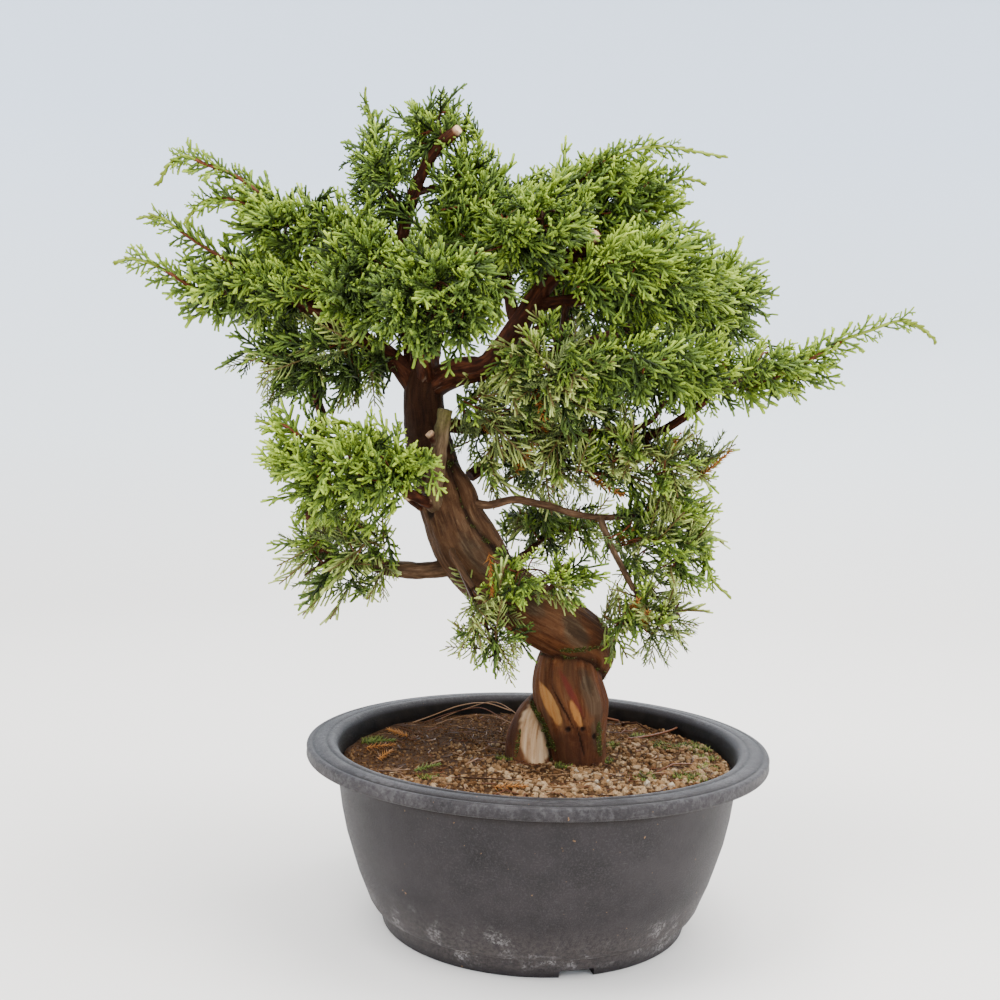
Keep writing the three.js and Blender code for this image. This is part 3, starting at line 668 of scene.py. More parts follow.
def trunk_bark():
    finish = Finish("trunk_bark", roughness=0.75)
    fibres = finish.attribute("grain", "Vector")
    lengthwise = finish.stretch((1, 1, 0.13), fibres)
    streaks = finish.noise(420, 8, 0.7, lengthwise, 0.5)
    broad = finish.noise(150, 6, 0.65, finish.stretch((1, 1, 0.35), fibres), 0.8)
    bark = finish.ramp(
        streaks, (0.30, (0.01, 0.0034, 0.0014)), (0.45, (0.05, 0.018, 0.0068)),
        (0.57, (0.115, 0.048, 0.019)), (0.72, (0.24, 0.135, 0.064)))
    ruddy = finish.ramp(
        broad,
        (0.34, (0.026, 0.008, 0.003)), (0.5, (0.105, 0.03, 0.0085)), (0.66, (0.24, 0.082, 0.026)))
    greyish = finish.ramp(
        finish.plus(finish.times(streaks, 0.6), finish.times(broad, 0.4)),
        (0.32, (0.012, 0.0062, 0.003)), (0.5, (0.053, 0.03, 0.0155)), (0.66, (0.15, 0.102, 0.059)))
    lower_bark = finish.mix(0.55, bark, ruddy)
    upper_bark = finish.mix(0.5, bark, greyish)
    finish.coat(finish.mix(finish.attribute("upper"), lower_bark, upper_bark))
    finish.coat(greyish, finish.attribute("grey"))
    # Painted shade from the crown, over the darker red-brown of the upper trunk.
    shaded = finish.ramp(streaks, (0.3, (0.007, 0.0022, 0.001)), (0.7, (0.04, 0.012, 0.0045)))
    finish.coat_marks(("flakes", 0.3, (0.105, 0.048, 0.021)), ("dusk", 0.85, shaded))
    peeled = finish.ramp(
        finish.noise(260, 5, 0.6, lengthwise, 0.2),
        (0.25, (0.24, 0.076, 0.016)), (0.5, (0.42, 0.175, 0.045)), (0.75, (0.52, 0.27, 0.085)))
    finish.coat(peeled, finish.between(finish.attribute("peeled"), 0.1, 0.8, 0, 0.85))
    finish.coat_marks(("crimson", 0.6, (0.12, 0.014, 0.013)), ("dark", 0.65, (0.03, 0.0085, 0.0032)))
    dead = finish.ramp(
        finish.noise(300, 6, 0.6, lengthwise, 0.3),
        (0.28, (0.24, 0.11, 0.045)), (0.5, (0.48, 0.3, 0.16)), (0.72, (0.62, 0.47, 0.305)))
    finish.coat(dead, finish.between(finish.attribute("deadwood"), 0.15, 0.75))
    # The dark of the creases between strands in this coat is painted shade.
    finish.coat_marks(("knot", 0.9, (0.006, 0.003, 0.002)), ("crack", 0.9, (0.006, 0.0025, 0.0015)),
                      ("crease", 0.7, (0.006, 0.0035, 0.0025)))
    mossy = finish.ramp(
        finish.noise(1400, 4, 0.6), (0.3, (0.006, 0.0085, 0.0015)), (0.7, (0.06, 0.072, 0.01)))
    tufted = finish.times(finish.attribute("moss"), finish.blotches((600, 5, 0.7), 0.40, 0.56))
    finish.coat(mossy, finish.between(tufted, 0.2, 0.6))
    finish.to(finish.between(finish.attribute("peeled"), 0.2, 0.8, 0.72, 0.42), "Roughness")
    finish.bump(finish.plus(streaks, finish.noise(1800, 3, 0.6)), 0.0008, 0.9)
    return finish.material


trunk.data.materials.append(trunk_bark())
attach(trunk, "root")
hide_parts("trunk")

# Boughs and branches: each is one limb that tapers from what carries it to where its mass of
# foliage begins, with scaly red-brown bark that flakes off in pale strips. Each is listed with
# points along its middle and its radii, spaced evenly from its foot to its end.
BOUGH_STEP = 2.2
boughs = {
    "apex_bough": ([(-65, 5, 270), (-72, 8, 303), (-79, 10, 330), (-79, 8, 353), (-74, 5, 372),
                    (-66, 2, 391), (-57, -2, 403), (-50, -6, 407)], (7.4, 4.6, 3.2, 2.8, 2.4)),
    "right_bough": ([(-63, 5, 275), (-48, 0, 284), (-32, -6, 287), (-20, -8, 302), (-8, -8, 320),
                     (0, -8, 333), (9, -10, 341), (17, -14, 346), (22, -20, 354)], (7.4, 2.8)),
    "left_bough": ([(-65, 5, 270), (-80, 4, 289), (-103, -3, 303), (-123, -8, 315),
                    (-134, -10, 319)], (6, 2.4)),
    "low_left_bough": ([(-40, 0, 185), (-55, -2, 181), (-71, -4, 180), (-90, -3, 183), (-108, 0, 184),
                        (-117, 5, 187)], (4.8, 3.2)),
    "left_riser": ([(-115, 4, 186), (-123, 12, 196), (-126, 16, 214), (-123, 16, 239), (-120, 14, 257),
                    (-123, 10, 272)], (3.4, 2.2)),
    "right_low_bough": ([(-61, 6, 257), (-40, 8, 256), (-11, 10, 256), (23, 4, 254),
                         (44, -5, 257)], (4.2, 2.4)),
    "right_reach_bough": ([(28, 3, 254), (50, 1, 253), (68, -13, 262), (79, -24, 272)], (2.8, 1.8)),
    "upper_left_bough": ([(-79, 10, 330), (-94, 4, 344), (-108, -1, 350)], (3.4, 2)),
    "shoot_bough": ([(-78, 10, 326), (-89, 16, 343), (-97, 20, 363)], (3, 1.8)),
    "centre_left_bough": ([(-73, 8, 309), (-81, -8, 318), (-87, -18, 323)], (3.4, 2.2)),
    "front_bough": ([(-63, 5, 278), (-63, -15, 289), (-60, -33, 299)], (5, 2.6)),
    "upper_centre_bough": ([(-16, -8, 307), (-21, 4, 324), (-24, 8, 338)], (3.8, 2.2)),
    "upper_right_bough": ([(0, -8, 333), (9, 0, 346), (16, 6, 357)], (3.4, 2.2)),
    "right_mid_bough": ([(-8, -8, 319), (13, -14, 321), (27, -18, 323)], (3.6, 2.2)),
    "right_back_bough": ([(-30, -6, 287), (-8, 14, 292), (28, 32, 306), (60, 42, 318)], (4.2, 2.2)),
    "back_right_bough": ([(-44, -1, 284), (-24, 26, 297), (-2, 50, 315)], (4.4, 2.4)),
    "back_bough": ([(-64, 5, 278), (-63, 28, 292), (-61, 50, 318)], (5, 2.6)),
    "back_left_bough": ([(-80, 4, 289), (-97, 26, 298), (-114, 46, 312)], (4, 2.4)),
    "inner_branch": ([(7, 7, 254), (2, 4, 245), (-8, 4, 239)], (2.4, 1.6)),
    "inner_back_branch": ([(-9, 10, 256), (1, 28, 260), (7, 42, 265)], (3, 1.8)),
    "arch_branch": ([(-38, -8, 217), (-28, -12, 216), (-16, -14, 219), (0, -14, 217), (15, -12, 213),
                     (29, -8, 211), (42, -4, 212)], (2.3, 1.4)),
    "drop_branch": ([(29, -8, 211), (35, -14, 197), (42, -16, 184), (47, -16, 175)], (1.7, 1.3)),
    "back_low_branch": ([(-24, 0, 175), (-12, 25, 185), (-4, 42, 191)], (3, 1.8)),
    "pad_branch": ([(-51, 2, 212), (-65, -26, 220), (-74, -36, 226)], (3, 2)),
    "front_twig": ([(-42, 0, 194), (-46, -17, 191), (-40, -24, 183), (-34, -28, 175)], (2, 1.4)),
    "cut_stub": ([(-53, 2, 212), (-57, -12, 218), (-55, -17, 233), (-53, -20, 251),
                  (-51, -21, 264)], (5, 3.4)),
}
# How far the bark of some of them has greyed.
weathering = {
    "cut_stub": 1.0, "low_left_bough": 0.6, "arch_branch": 0.5, "drop_branch": 0.7, "front_twig": 0.5,
}
# Pruned ends, as (foot, cut end, radius): short stubs whose cut faces show pale wood.
prunings = [
    ((-56, -3, 402), (-49, -9, 407), 2.3), ((17, -14, 346), (21, -26, 352), 3.0),
    ((40, 0, 340), (49, -12, 351), 2.2), ((54, 2, 340), (61, -10, 348), 2.0),
    ((-64, -2, 214), (-70, -14, 220), 2.6), ((-54, -4, 214), (-59, -15, 218), 2.4),
    ((-54, -19, 246), (-59, -22, 252), 2.2), ((-40, 14, 230), (-30, 22, 238), 3.0),
    ((-70, 10, 300), (-66, 22, 306), 3.0),
]
PRUNING_FLARE = 1.15
CUT_DEPTH = 0.4
CUT_REACH = 1.2
bough_lines = {name: limb_of_points(points, radii, BOUGH_STEP) for name, (points, radii) in boughs.items()}
limbs = list(bough_lines.values())
for foot, end, radius in prunings:
    line = smooth_line([foot, end], BOUGH_STEP)
    limbs.append((line, np.linspace(radius * PRUNING_FLARE, radius, len(line))))
bough_wood = limb_curve("bough_wood", limbs, 5)
points, normals = mesh_points(bough_wood.data)
grain, _, limb_number = grain_of(points, limbs)
thickness = np.array([radii.mean() for _, radii in limbs])[limb_number]
scales = ease(ripple(grain, 2.6, 9), -0.05, 0.12)
knobs = ripple(points, 6, 6, 4)
cut_face = np.zeros(len(points))
for foot, end, radius in prunings:
    course = np.array(end, float) - foot
    outward = course / np.linalg.norm(course)
    offset = points - end
    flat = (np.abs(offset @ outward) < CUT_DEPTH) & (np.linalg.norm(offset, axis=1) < radius * CUT_REACH)
    cut_face = np.maximum(cut_face, flat.astype(float))
amount = thickness * (0.10 * scales + 0.16 * knobs + 0.06 * ripple(grain, 1.5, 12, 5)) * (1 - cut_face)
push_out(bough_wood.data, points, normals, amount)
by_limb = [weathering.get(name, 0.0) for name in boughs] + [0.0] * len(prunings)
weathered = np.array(by_limb)[limb_number]
mossy = (limb_number == list(boughs).index("cut_stub")) * ease(points[:, 2] + 4 * knobs, 246, 262)
paint(bough_wood.data, grain=grain * MM, scales=scales, cut=cut_face, weathered=weathered, moss=mossy)
smoothed(bough_wood)


def bough_bark():
    finish = Finish("bough_bark", roughness=0.75)
    lengthwise = finish.stretch((1, 1, 0.2), finish.attribute("grain", "Vector"))
    streaks = finish.noise(520, 6, 0.62, lengthwise, 0.3)
    finish.coat(finish.ramp(
        streaks,
        (0.28, (0.007, 0.0022, 0.001)), (0.48, (0.03, 0.0078, 0.003)), (0.66, (0.085, 0.025, 0.0095))))
    flaky = finish.blotches((300, 6, 0.7, lengthwise, 0.8), 0.60, 0.70)
    finish.coat((0.17, 0.115, 0.08), finish.times(flaky, finish.attribute("scales")))
    finish.coat(finish.ramp(
        streaks, (0.28, (0.022, 0.012, 0.006)), (0.5, (0.09, 0.054, 0.028)), (0.72, (0.19, 0.125, 0.07))
    ), finish.attribute("weathered"))
    finish.coat(finish.ramp(
        finish.noise(900, 4), (0.3, (0.035, 0.036, 0.006)), (0.7, (0.13, 0.13, 0.022))
    ), finish.times(finish.attribute("moss"), 0.5))
    finish.coat(finish.ramp(
        finish.noise(500, 4), (0.3, (0.50, 0.26, 0.13)), (0.7, (0.72, 0.50, 0.31))
    ), finish.attribute("cut"))
    finish.bump(streaks, 0.0005, 0.9)
    return finish.material


bough_wood.data.materials.append(bough_bark())
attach(bough_wood, "root")
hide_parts(*boughs)

# Foliage: blunt green fingers about a millimetre thick, clad in tiny scales, that stand out on
# both sides of each shoot like a plume. Shaded shoots bear short awl needles instead, and some
# of those have died and turned orange. All of it grows from the boughs on red-brown twigs.
FINGER = 0.66
FINGER_LIGHT = 0.7
FINGER_BLUNT = 0.55
SPRIG_LENGTH = 21
SMALL_LENGTH = 11
NEEDLE_LENGTH = 22
NEEDLE_WHORLS = 12
NEEDLE_RADIUS = 0.46
LOOSE_LENGTH = 24
LOOSE_PAIRS = 6


def rod(path, radii, sides=3, point=0.8):
    """A closed rod along a path of points: its vertices, its triangles, facing outwards, and the
    number of the stretch of the path that each triangle covers."""
    line = np.array(path, float)
    directions, across, beside = line_frames(line)
    angles = np.arange(sides) * math.tau / sides
    circle = np.cos(angles)[None, :, None] * across[:, None] + np.sin(angles)[None, :, None] * beside[:, None]
    rings = line[:, None] + circle * np.asarray(radii, float)[:, None, None]
    tip = line[-1] + directions[-1] * radii[-1] * point
    vertices = np.vstack([rings.reshape(-1, 3), tip])
    triangles, stretches = [], []
    for ring in range(len(line) - 1):
        for side in range(sides):
            a, b = ring * sides + side, ring * sides + (side + 1) % sides
            triangles += [(a, b, b + sides), (a, b + sides, a + sides)]
            stretches += [ring, ring]
    last = (len(line) - 1) * sides
    triangles += [(last + side, last + (side + 1) % sides, len(vertices) - 1) for side in range(sides)]
    stretches += [len(line) - 2] * sides
    triangles += [(0, side + 1, side) for side in range(1, sides - 1)]
    stretches += [0] * (sides - 2)
    return vertices, np.array(triangles), np.array(stretches)


def unit(vector):
    vector = np.array(vector, float)
    return vector / np.linalg.norm(vector)


def wander(rng):
    return np.array((rng.gauss(0, 1), rng.gauss(0, 1), rng.gauss(0, 1)))


def slanted(round_axis, lean):
    """A direction of length one that leans away from +Z."""
    across = math.sin(lean)
    return np.array((math.cos(round_axis) * across, math.sin(round_axis) * across, math.cos(lean)))


def bent(length, bend, share, towards=1):
    """A place along an axis that bends from +Z towards +Y, or towards +X where towards is 0."""
    spot = np.array((0, 0, length * share), float)
    spot[towards] = bend * length * share ** 2
    return spot


def needle(foot, heading, reach, radius):
    """An awl: a three-sided spike."""
    across = unit(np.cross(heading, (0.3, 0.5, 0.8)))
    beside = np.cross(heading, across)
    corners = [foot + radius * (math.cos(turn) * across + math.sin(turn) * beside)
               for turn in (0, math.tau / 3, math.tau * 2 / 3)]
    vertices = np.array(corners + [foot + heading * reach])
    return vertices, np.array([(0, 1, 3), (1, 2, 3), (2, 0, 3), (0, 2, 1)]), np.zeros(4, int)


def toned(part, tone):
    vertices, triangles, numbers = part
    return vertices, triangles, tone + numbers


def sprig(seed, length, fingers, jointed):
    """A fan of scale foliage, from its foot at the origin up +Z, spread to both sides of X and
    bending to +Y. Material numbers rise from its axis to the tips of its fingers."""
    rng = random.Random(seed)
    bend = rng.uniform(0.02, 0.22)
    axis = [bent(length, bend, share) for share in (0, 0.4, 0.75, 1)]
    vertices, triangles, stretches = rod(axis, (FINGER, FINGER, FINGER, 0.60), point=0.5)
    parts = [(vertices, triangles, stretches // 2)]
    for index in range(fingers):
        share = 0.06 + 0.86 * (index + rng.uniform(-0.25, 0.25)) / (fingers - 1)
        share = min(0.94, max(0.04, share))
        foot = bent(length, bend, share)
        upward = unit((0, 2 * bend * share, 1))
        round_axis = (index % 2) * math.pi + rng.gauss(0, 0.5)
        lean = math.radians(rng.uniform(40, 62) - 20 * share)
        out = np.array((math.cos(round_axis), math.sin(round_axis), 0))
        heading = unit(out * math.sin(lean) + upward * math.cos(lean))
        reach = length * (0.54 - 0.28 * share) * rng.uniform(0.65, 1.2)
        tone = 1 + (share > FINGER_LIGHT)
        middle = foot + heading * reach * 0.5
        end = middle + unit(heading + 0.6 * upward + 0.25 * wander(rng)) * reach * 0.5
        path = [foot, middle, end] if jointed else [foot, end]
        radii = (FINGER * 0.92, FINGER * 1.04, FINGER * 0.98) if jointed else (FINGER, FINGER)
        parts.append(toned(rod(path, radii, point=FINGER_BLUNT), tone))
        if index % 2 == 1:
            beside = unit(np.cross(heading, np.cross(out, upward)) + 0.5 * wander(rng))
            fork = math.radians(rng.uniform(38, 56))
            start = foot + heading * reach * rng.uniform(0.3, 0.5)
            lobe_heading = heading * math.cos(fork) + beside * math.sin(fork)
            lobe = start + lobe_heading * reach * rng.uniform(0.28, 0.45)
            parts.append(toned(rod([start, lobe], (FINGER, FINGER * 0.9), point=FINGER_BLUNT), tone + 1))
    return gathered(parts)


def bare_axis(path, radii):
    """The thin axis that needles and loose fingers stand on."""
    vertices, triangles, _ = rod(path, radii)
    return vertices, triangles, np.zeros(len(triangles), int)


def needle_sprig(seed, length, whorls):
    """A juvenile shoot: awl needles in threes all along a thin axis, up +Z."""
    rng = random.Random(seed)
    bend = rng.uniform(-0.15, 0.15)
    parts = [bare_axis([bent(length, bend, share, 0) for share in (0, 0.5, 1)], (0.5, 0.45, 0.3))]
    for whorl in range(whorls):
        share = 0.06 + 0.94 * whorl / whorls
        foot = bent(length, bend, share, 0)
        for third in range(3):
            round_axis = third * math.tau / 3 + whorl * 1.05 + rng.gauss(0, 0.15)
            lean = math.radians(rng.uniform(36, 58) * (1.1 - 0.5 * share))
            reach = rng.uniform(4.2, 6.0) * (1 - 0.35 * share)
            parts.append(toned(needle(foot, unit(slanted(round_axis, lean)), reach, NEEDLE_RADIUS), 1))
    return gathered(parts)


def loose_sprig(seed, length, pairs):
    """An open hanging frond: thin blunt fingers well apart on both sides of a bare axis."""
    rng = random.Random(seed)
    bend = rng.uniform(-0.2, 0.2)
    parts = [bare_axis([bent(length, bend, share) for share in (0, 0.5, 1)], (0.55, 0.5, 0.45))]
    for index in range(pairs * 2):
        share = 0.12 + 0.82 * index / (pairs * 2)
        foot = bent(length, bend, share)
        round_axis = (index % 2) * math.pi + rng.gauss(0, 0.35)
        heading = slanted(round_axis, math.radians(rng.uniform(38, 56) - 14 * share))
        reach = length * (0.50 - 0.24 * share) * rng.uniform(0.7, 1.2)
        middle = foot + heading * reach * 0.55
        end = middle + unit(heading + (0, 0, 0.4)) * reach * 0.45
        parts.append(toned(rod([foot, middle, end], (0.42, 0.52, 0.5), point=0.6), 1 + (share > 0.6)))
    return gathered(parts)


def ball(template):
    """The ball around a template: the height of its middle, and its radius."""
    points = template[0]
    height = (points[:, 2].min() + points[:, 2].max()) / 2
    return height, np.linalg.norm(points - (0, 0, height), axis=1).max()


# Each plume's size and how many fingers it has.
plume_sizes = ((1.0, 10), (1.1, 11), (0.9, 9), (1.05, 10), (0.85, 8), (0.95, 9), (1.15, 11), (0.9, 9))
templates = {
    "plume": [sprig(seed, SPRIG_LENGTH * size, fingers, True)
              for seed, (size, fingers) in enumerate(plume_sizes, 1)],
    "inner": [sprig(seed, SPRIG_LENGTH * 0.9, 7, False) for seed in range(11, 15)],
    "small": [sprig(seed, SMALL_LENGTH, 5, False) for seed in range(21, 25)],
    "needle": [needle_sprig(seed, NEEDLE_LENGTH, NEEDLE_WHORLS) for seed in range(31, 35)],
    "loose": [loose_sprig(seed, LOOSE_LENGTH, LOOSE_PAIRS) for seed in range(41, 45)],
}
balls = {family: [ball(template) for template in kinds] for family, kinds in templates.items()}

# Plain greens from deep shade to new tips, then the tints that a sprig takes whole: a bluish
# grey-green for shaded needles, the orange of dying ones, and the pale green of loose fronds.
greens = [
    (0.012, 0.020, 0.0040), (0.028, 0.046, 0.0085), (0.058, 0.094, 0.0145), (0.105, 0.166, 0.0215),
    (0.186, 0.268, 0.0260), (0.285, 0.390, 0.0380), (0.405, 0.520, 0.0550),
]
needle_greens = [(0.075, 0.095, 0.034), (0.150, 0.190, 0.056), (0.245, 0.300, 0.080)]
dying = [(0.120, 0.040, 0.010), (0.330, 0.120, 0.020), (0.460, 0.230, 0.045)]
loose_greens = [(0.110, 0.070, 0.022), (0.170, 0.205, 0.052), (0.280, 0.335, 0.080), (0.420, 0.480, 0.130)]
LIGHTEST_TONE = len(greens) - 4
NEEDLE_TONE = len(greens)
DYING_TONE = NEEDLE_TONE + len(needle_greens)
LOOSE_TONE = DYING_TONE + len(dying)


def leaf_finish(name, colour):
    return Finish(name, colour, roughness=0.5, shine=0.18).material


leaf_finishes = [
    leaf_finish(f"{kind}_{number}", colour)
    for kind, colours in (("leaf_green", greens), ("needle_green", needle_greens), ("needle_dying", dying),
                          ("loose_green", loose_greens))
    for number, colour in enumerate(colours)
]
twig_finishes = [
    leaf_finish("twig_woody", (0.040, 0.014, 0.006)),
    leaf_finish("twig_red", (0.120, 0.030, 0.009)),
    leaf_finish("twig_green", (0.200, 0.250, 0.025)),
]

# Each mass: the bough that it grows from and how far along, its middle and its reach, how full
# it is (1 is dense), how light its greens are, the share of juvenile needles, and its leaders.
masses = {
    "apex_mass": ("apex_bough", 0.9, (-64, 8, 412), (24, 20, 18), 1.0, 0.66, 0, []),
    "apex_left_mass": ("apex_bough", 0.5, (-89, -2, 383), (17, 20, 27), 0.9, 0.5, 0, []),
    "apex_right_mass": ("apex_bough", 0.6, (-49, 8, 384), (19, 22, 26), 0.9, 0.55, 0, []),
    "top_shoot_mass": ("shoot_bough", 1, (-99, 22, 391), (14, 14, 22), 0.9, 0.4, 0, [
        [(-99, 22, 397), (-99, 22, 405), (-97, 22, 411), (-99, 22, 421), (-102, 22, 429), (-102, 22, 437)]]),
    "upper_left_mass": ("upper_left_bough", 1, (-132, -5, 358), (38, 32, 19), 1.0, 0.62, 0, [
        [(-143, -5, 365), (-159, -14, 378), (-178, -19, 385), (-186, -20, 388), (-193, -20, 385),
         (-200, -20, 373)],
        [(-145, -14, 362), (-164, -20, 367), (-176, -24, 364), (-184, -26, 353)],
        [(-160, -10, 334), (-178, -14, 344), (-192, -19, 353), (-198, -20, 357), (-209, -20, 357)]]),
    "left_mass": ("left_bough", 1, (-153, -12, 323), (38, 34, 21), 1.0, 0.62, 0, [
        [(-170, -14, 315), (-185, -18, 324), (-201, -24, 333), (-211, -25, 335), (-221, -25, 333)]]),
    "lower_left_mass": ("left_riser", 1, (-123, 0, 288), (42, 34, 26), 0.8, 0.24, 0.3, []),
    "centre_left_mass": ("centre_left_bough", 1, (-93, -38, 327), (26, 25, 33), 1.0, 0.45, 0, []),
    "centre_front_mass": ("front_bough", 1, (-53, -60, 315), (33, 30, 31), 1.0, 0.47, 0, []),
    "upper_centre_mass": ("upper_centre_bough", 1, (-25, 12, 364), (32, 32, 32), 1.0, 0.58, 0, []),
    "centre_right_mass": ("right_bough", 0.55, (-5, -35, 353), (30, 23, 24), 1.0, 0.62, 0, []),
    "upper_right_mass": ("upper_right_bough", 1, (27, 14, 377), (44, 36, 27), 1.0, 0.64, 0, [
        [(-1, -10, 369), (11, -8, 380), (23, -6, 391), (39, -5, 398), (54, -5, 401), (69, -5, 399),
         (88, -5, 396)],
        [(35, 5, 379), (45, 5, 381), (58, 5, 384), (68, 5, 387), (79, 5, 385)]]),
    "right_mass": ("right_mid_bough", 1, (51, -24, 331), (43, 34, 28), 1.0, 0.66, 0, []),
    "right_inner_mass": ("right_mid_bough", 0.4, (4, -34, 284), (33, 24, 32), 0.75, 0.34, 0.45, []),
    "right_low_mass": ("right_low_bough", 1, (56, -30, 285), (44, 34, 24), 1.0, 0.55, 0, []),
    "right_back_mass": ("right_back_bough", 1, (92, 50, 329), (34, 38, 33), 0.9, 0.6, 0, []),
    "right_reach_mass": ("right_reach_bough", 1, (112, -26, 287), (29, 22, 18), 0.62, 0.74, 0, [
        [(95, -26, 277), (110, -26, 283), (128, -26, 292), (143, -26, 302), (158, -26, 308), (172, -26, 313),
         (181, -26, 311), (191, -26, 303)]]),
    "under_reach_mass": ("right_reach_bough", 0.35, (58, -12, 242), (37, 28, 24), 0.68, 0.52, 0.55, []),
    "inner_right_mass": ("inner_branch", 1, (-22, -6, 256), (25, 26, 34), 0.55, 0.3, 0.75, []),
    "under_bough_mass": ("right_low_bough", 0.7, (10, 8, 239), (34, 28, 24), 0.6, 0.35, 0.75, []),
    "inner_back_mass": ("inner_back_branch", 1, (16, 66, 272), (36, 32, 28), 0.75, 0.25, 0.3, []),
    "low_right_mass": ("arch_branch", 1, (66, 4, 202), (30, 30, 33), 0.78, 0.72, 0.45, [
        [(76, 8, 205), (83, 10, 200), (87, 13, 188), (92, 15, 177), (101, 15, 169)]]),
    "hanging_mass": ("drop_branch", 1, (59, -12, 160), (27, 24, 22), 0.6, 0.8, 0.8, []),
    "back_low_mass": ("back_low_branch", 1, (8, 64, 203), (34, 28, 22), 0.6, 0.35, 0.4, []),
    "pad_mass": ("pad_branch", 1, (-99, -48, 232), (41, 36, 27), 1.0, 0.82, 0, [
        [(-118, -50, 248), (-126, -50, 253), (-133, -50, 254), (-140, -50, 256)]]),
    "under_pad_mass": ("low_left_bough", 0.8, (-108, -16, 186), (34, 28, 33), 0.55, 0.64, 0.5, []),
    "sprig_mass": ("front_twig", 1, (2, -42, 181), (30, 17, 15), 0.9, 0.8, 0.3, []),
    "drooping_mass": ("front_twig", 0.5, (-24, -36, 150), (20, 16, 20), 0.75, 0.5, 0.6, []),
    "back_left_mass": ("back_left_bough", 1, (-144, 76, 335), (50, 44, 38), 0.66, 0.55, 0, []),
    "back_mass": ("back_bough", 1, (-60, 88, 350), (46, 42, 42), 0.66, 0.55, 0, []),
    "back_right_mass": ("back_right_bough", 1, (24, 86, 338), (48, 40, 40), 0.66, 0.55, 0, []),
}
# The masses that each joined piece holds.
regions = {
    "apex": ["apex_mass", "apex_left_mass", "apex_right_mass", "top_shoot_mass"],
    "centre": ["upper_centre_mass", "centre_right_mass", "centre_front_mass", "right_inner_mass"],
    "left": ["upper_left_mass", "left_mass"],
    "left_low": ["lower_left_mass", "centre_left_mass"],
    "right": ["upper_right_mass", "right_mass"],
    "right_low": ["right_low_mass", "right_reach_mass", "under_reach_mass", "under_bough_mass"],
    "front_low": ["pad_mass", "under_pad_mass", "sprig_mass", "drooping_mass", "inner_right_mass"],
    "low_right": ["low_right_mass", "hanging_mass", "back_low_mass"],
    "back_left": ["back_left_mass", "back_mass"],
    "back_right": ["back_right_mass", "right_back_mass", "inner_back_mass"],
}
GOLDEN_ANGLE = math.pi * (3 - math.sqrt(5))
TIP_SPACING = 17.0
LIMBS_PER_MASS = 9
INNER_SHARE = 0.7
NEEDLE_SHARE = 0.35
STEM_POINTS = 12
LIMB_POINTS = 7
LEADER_STEP = 2.6
NUBS_FROM = 0.72
BOX_MARGIN = 0.3
LEADER_TIP = 0.6
box_low, box_high = ((np.array(corner) - AXIS_ROW) / MM + margin for corner, margin in zip(
    cad_box, (BOX_MARGIN, -BOX_MARGIN)))
# The middle of the trunk, carried on up through the crown. Foliage points away from it.
TRUNK_LINE = np.array([
    (16, 0, 110), (14, 1, 150), (-23, -2, 174), (-50, 2, 211), (-63, 5, 254), (-60, 5, 300), (-40, 5, 340),
], float)
# Stretches of wood that stay bare in front, as seen at the depth of CLEARING_DEPTH: their two
# ends (x, z) and how wide the clearing is.
CLEARING_DEPTH = -8
clearings = [((-16, 306), (1, 334), 7), ((19, 351), (22, 353), 7), ((-52, 404), (-49, 408), 5)]


def spiral(index, count, turn):
    """The index-th of count directions that cover a sphere evenly."""
    rise = 1 - 2 * (index + 0.5) / count
    flat = math.sqrt(1 - rise * rise)
    angle = GOLDEN_ANGLE * index + turn
    return np.array((flat * math.cos(angle), flat * math.sin(angle), rise))


def arc(start, heading, end, count):
    """Points from start to end, leaving start along heading."""
    middle = start + unit(heading) * np.linalg.norm(end - start) * 0.45
    shares = np.linspace(0, 1, count)[:, None]
    return (1 - shares) ** 2 * start + 2 * shares * (1 - shares) * middle + shares ** 2 * end


def turned(direction, roll):
    """The turn that takes +Z to a direction, rolled about it."""
    return np.array(Vector(direction).to_track_quat("Z", "Y").to_matrix() @ Matrix.Rotation(roll, 3, "Z"))


def set_down(part, number):
    """A part in millimetres from the pot's axis, in its place in the frame, all of one material."""
    vertices, triangles, _ = part
    return vertices * MM + AXIS_ROW, triangles, np.full(len(triangles), number)


class Growth:
    """What grows in one region of the crown: its twigs, and the copies of each sprig."""

    def __init__(self):
        self.twigs = []
        self.sprigs = {}

    def twig(self, path, radii, number):
        self.twigs.append(set_down(rod(path, radii), number))

    def sprig(self, family, number, foot, direction, roll, size, tone):
        turns, places, tones = self.sprigs.setdefault((family, number), ([], [], []))
        turns.append(turned(direction, roll) * size * MM)
        places.append(foot * MM + AXIS_ROW)
        tones.append(tone)


def hides_wood(spot):
    """Whether a sprig there would hide wood that stays bare in front."""
    nearer = (CLEARING_DEPTH - CAMERA_PLACE[1]) / (spot[1] - CAMERA_PLACE[1])
    seen = np.array((spot[0] * nearer, CAMERA_PLACE[2] + (spot[2] - CAMERA_PLACE[2]) * nearer))
    for foot, end, width in clearings:
        course = np.array(end, float) - foot
        share = np.clip((seen - foot) @ course / (course @ course), 0, 1)
        if spot[1] < CLEARING_DEPTH and np.linalg.norm(seen - foot - share * course) < width:
            return True
    return False


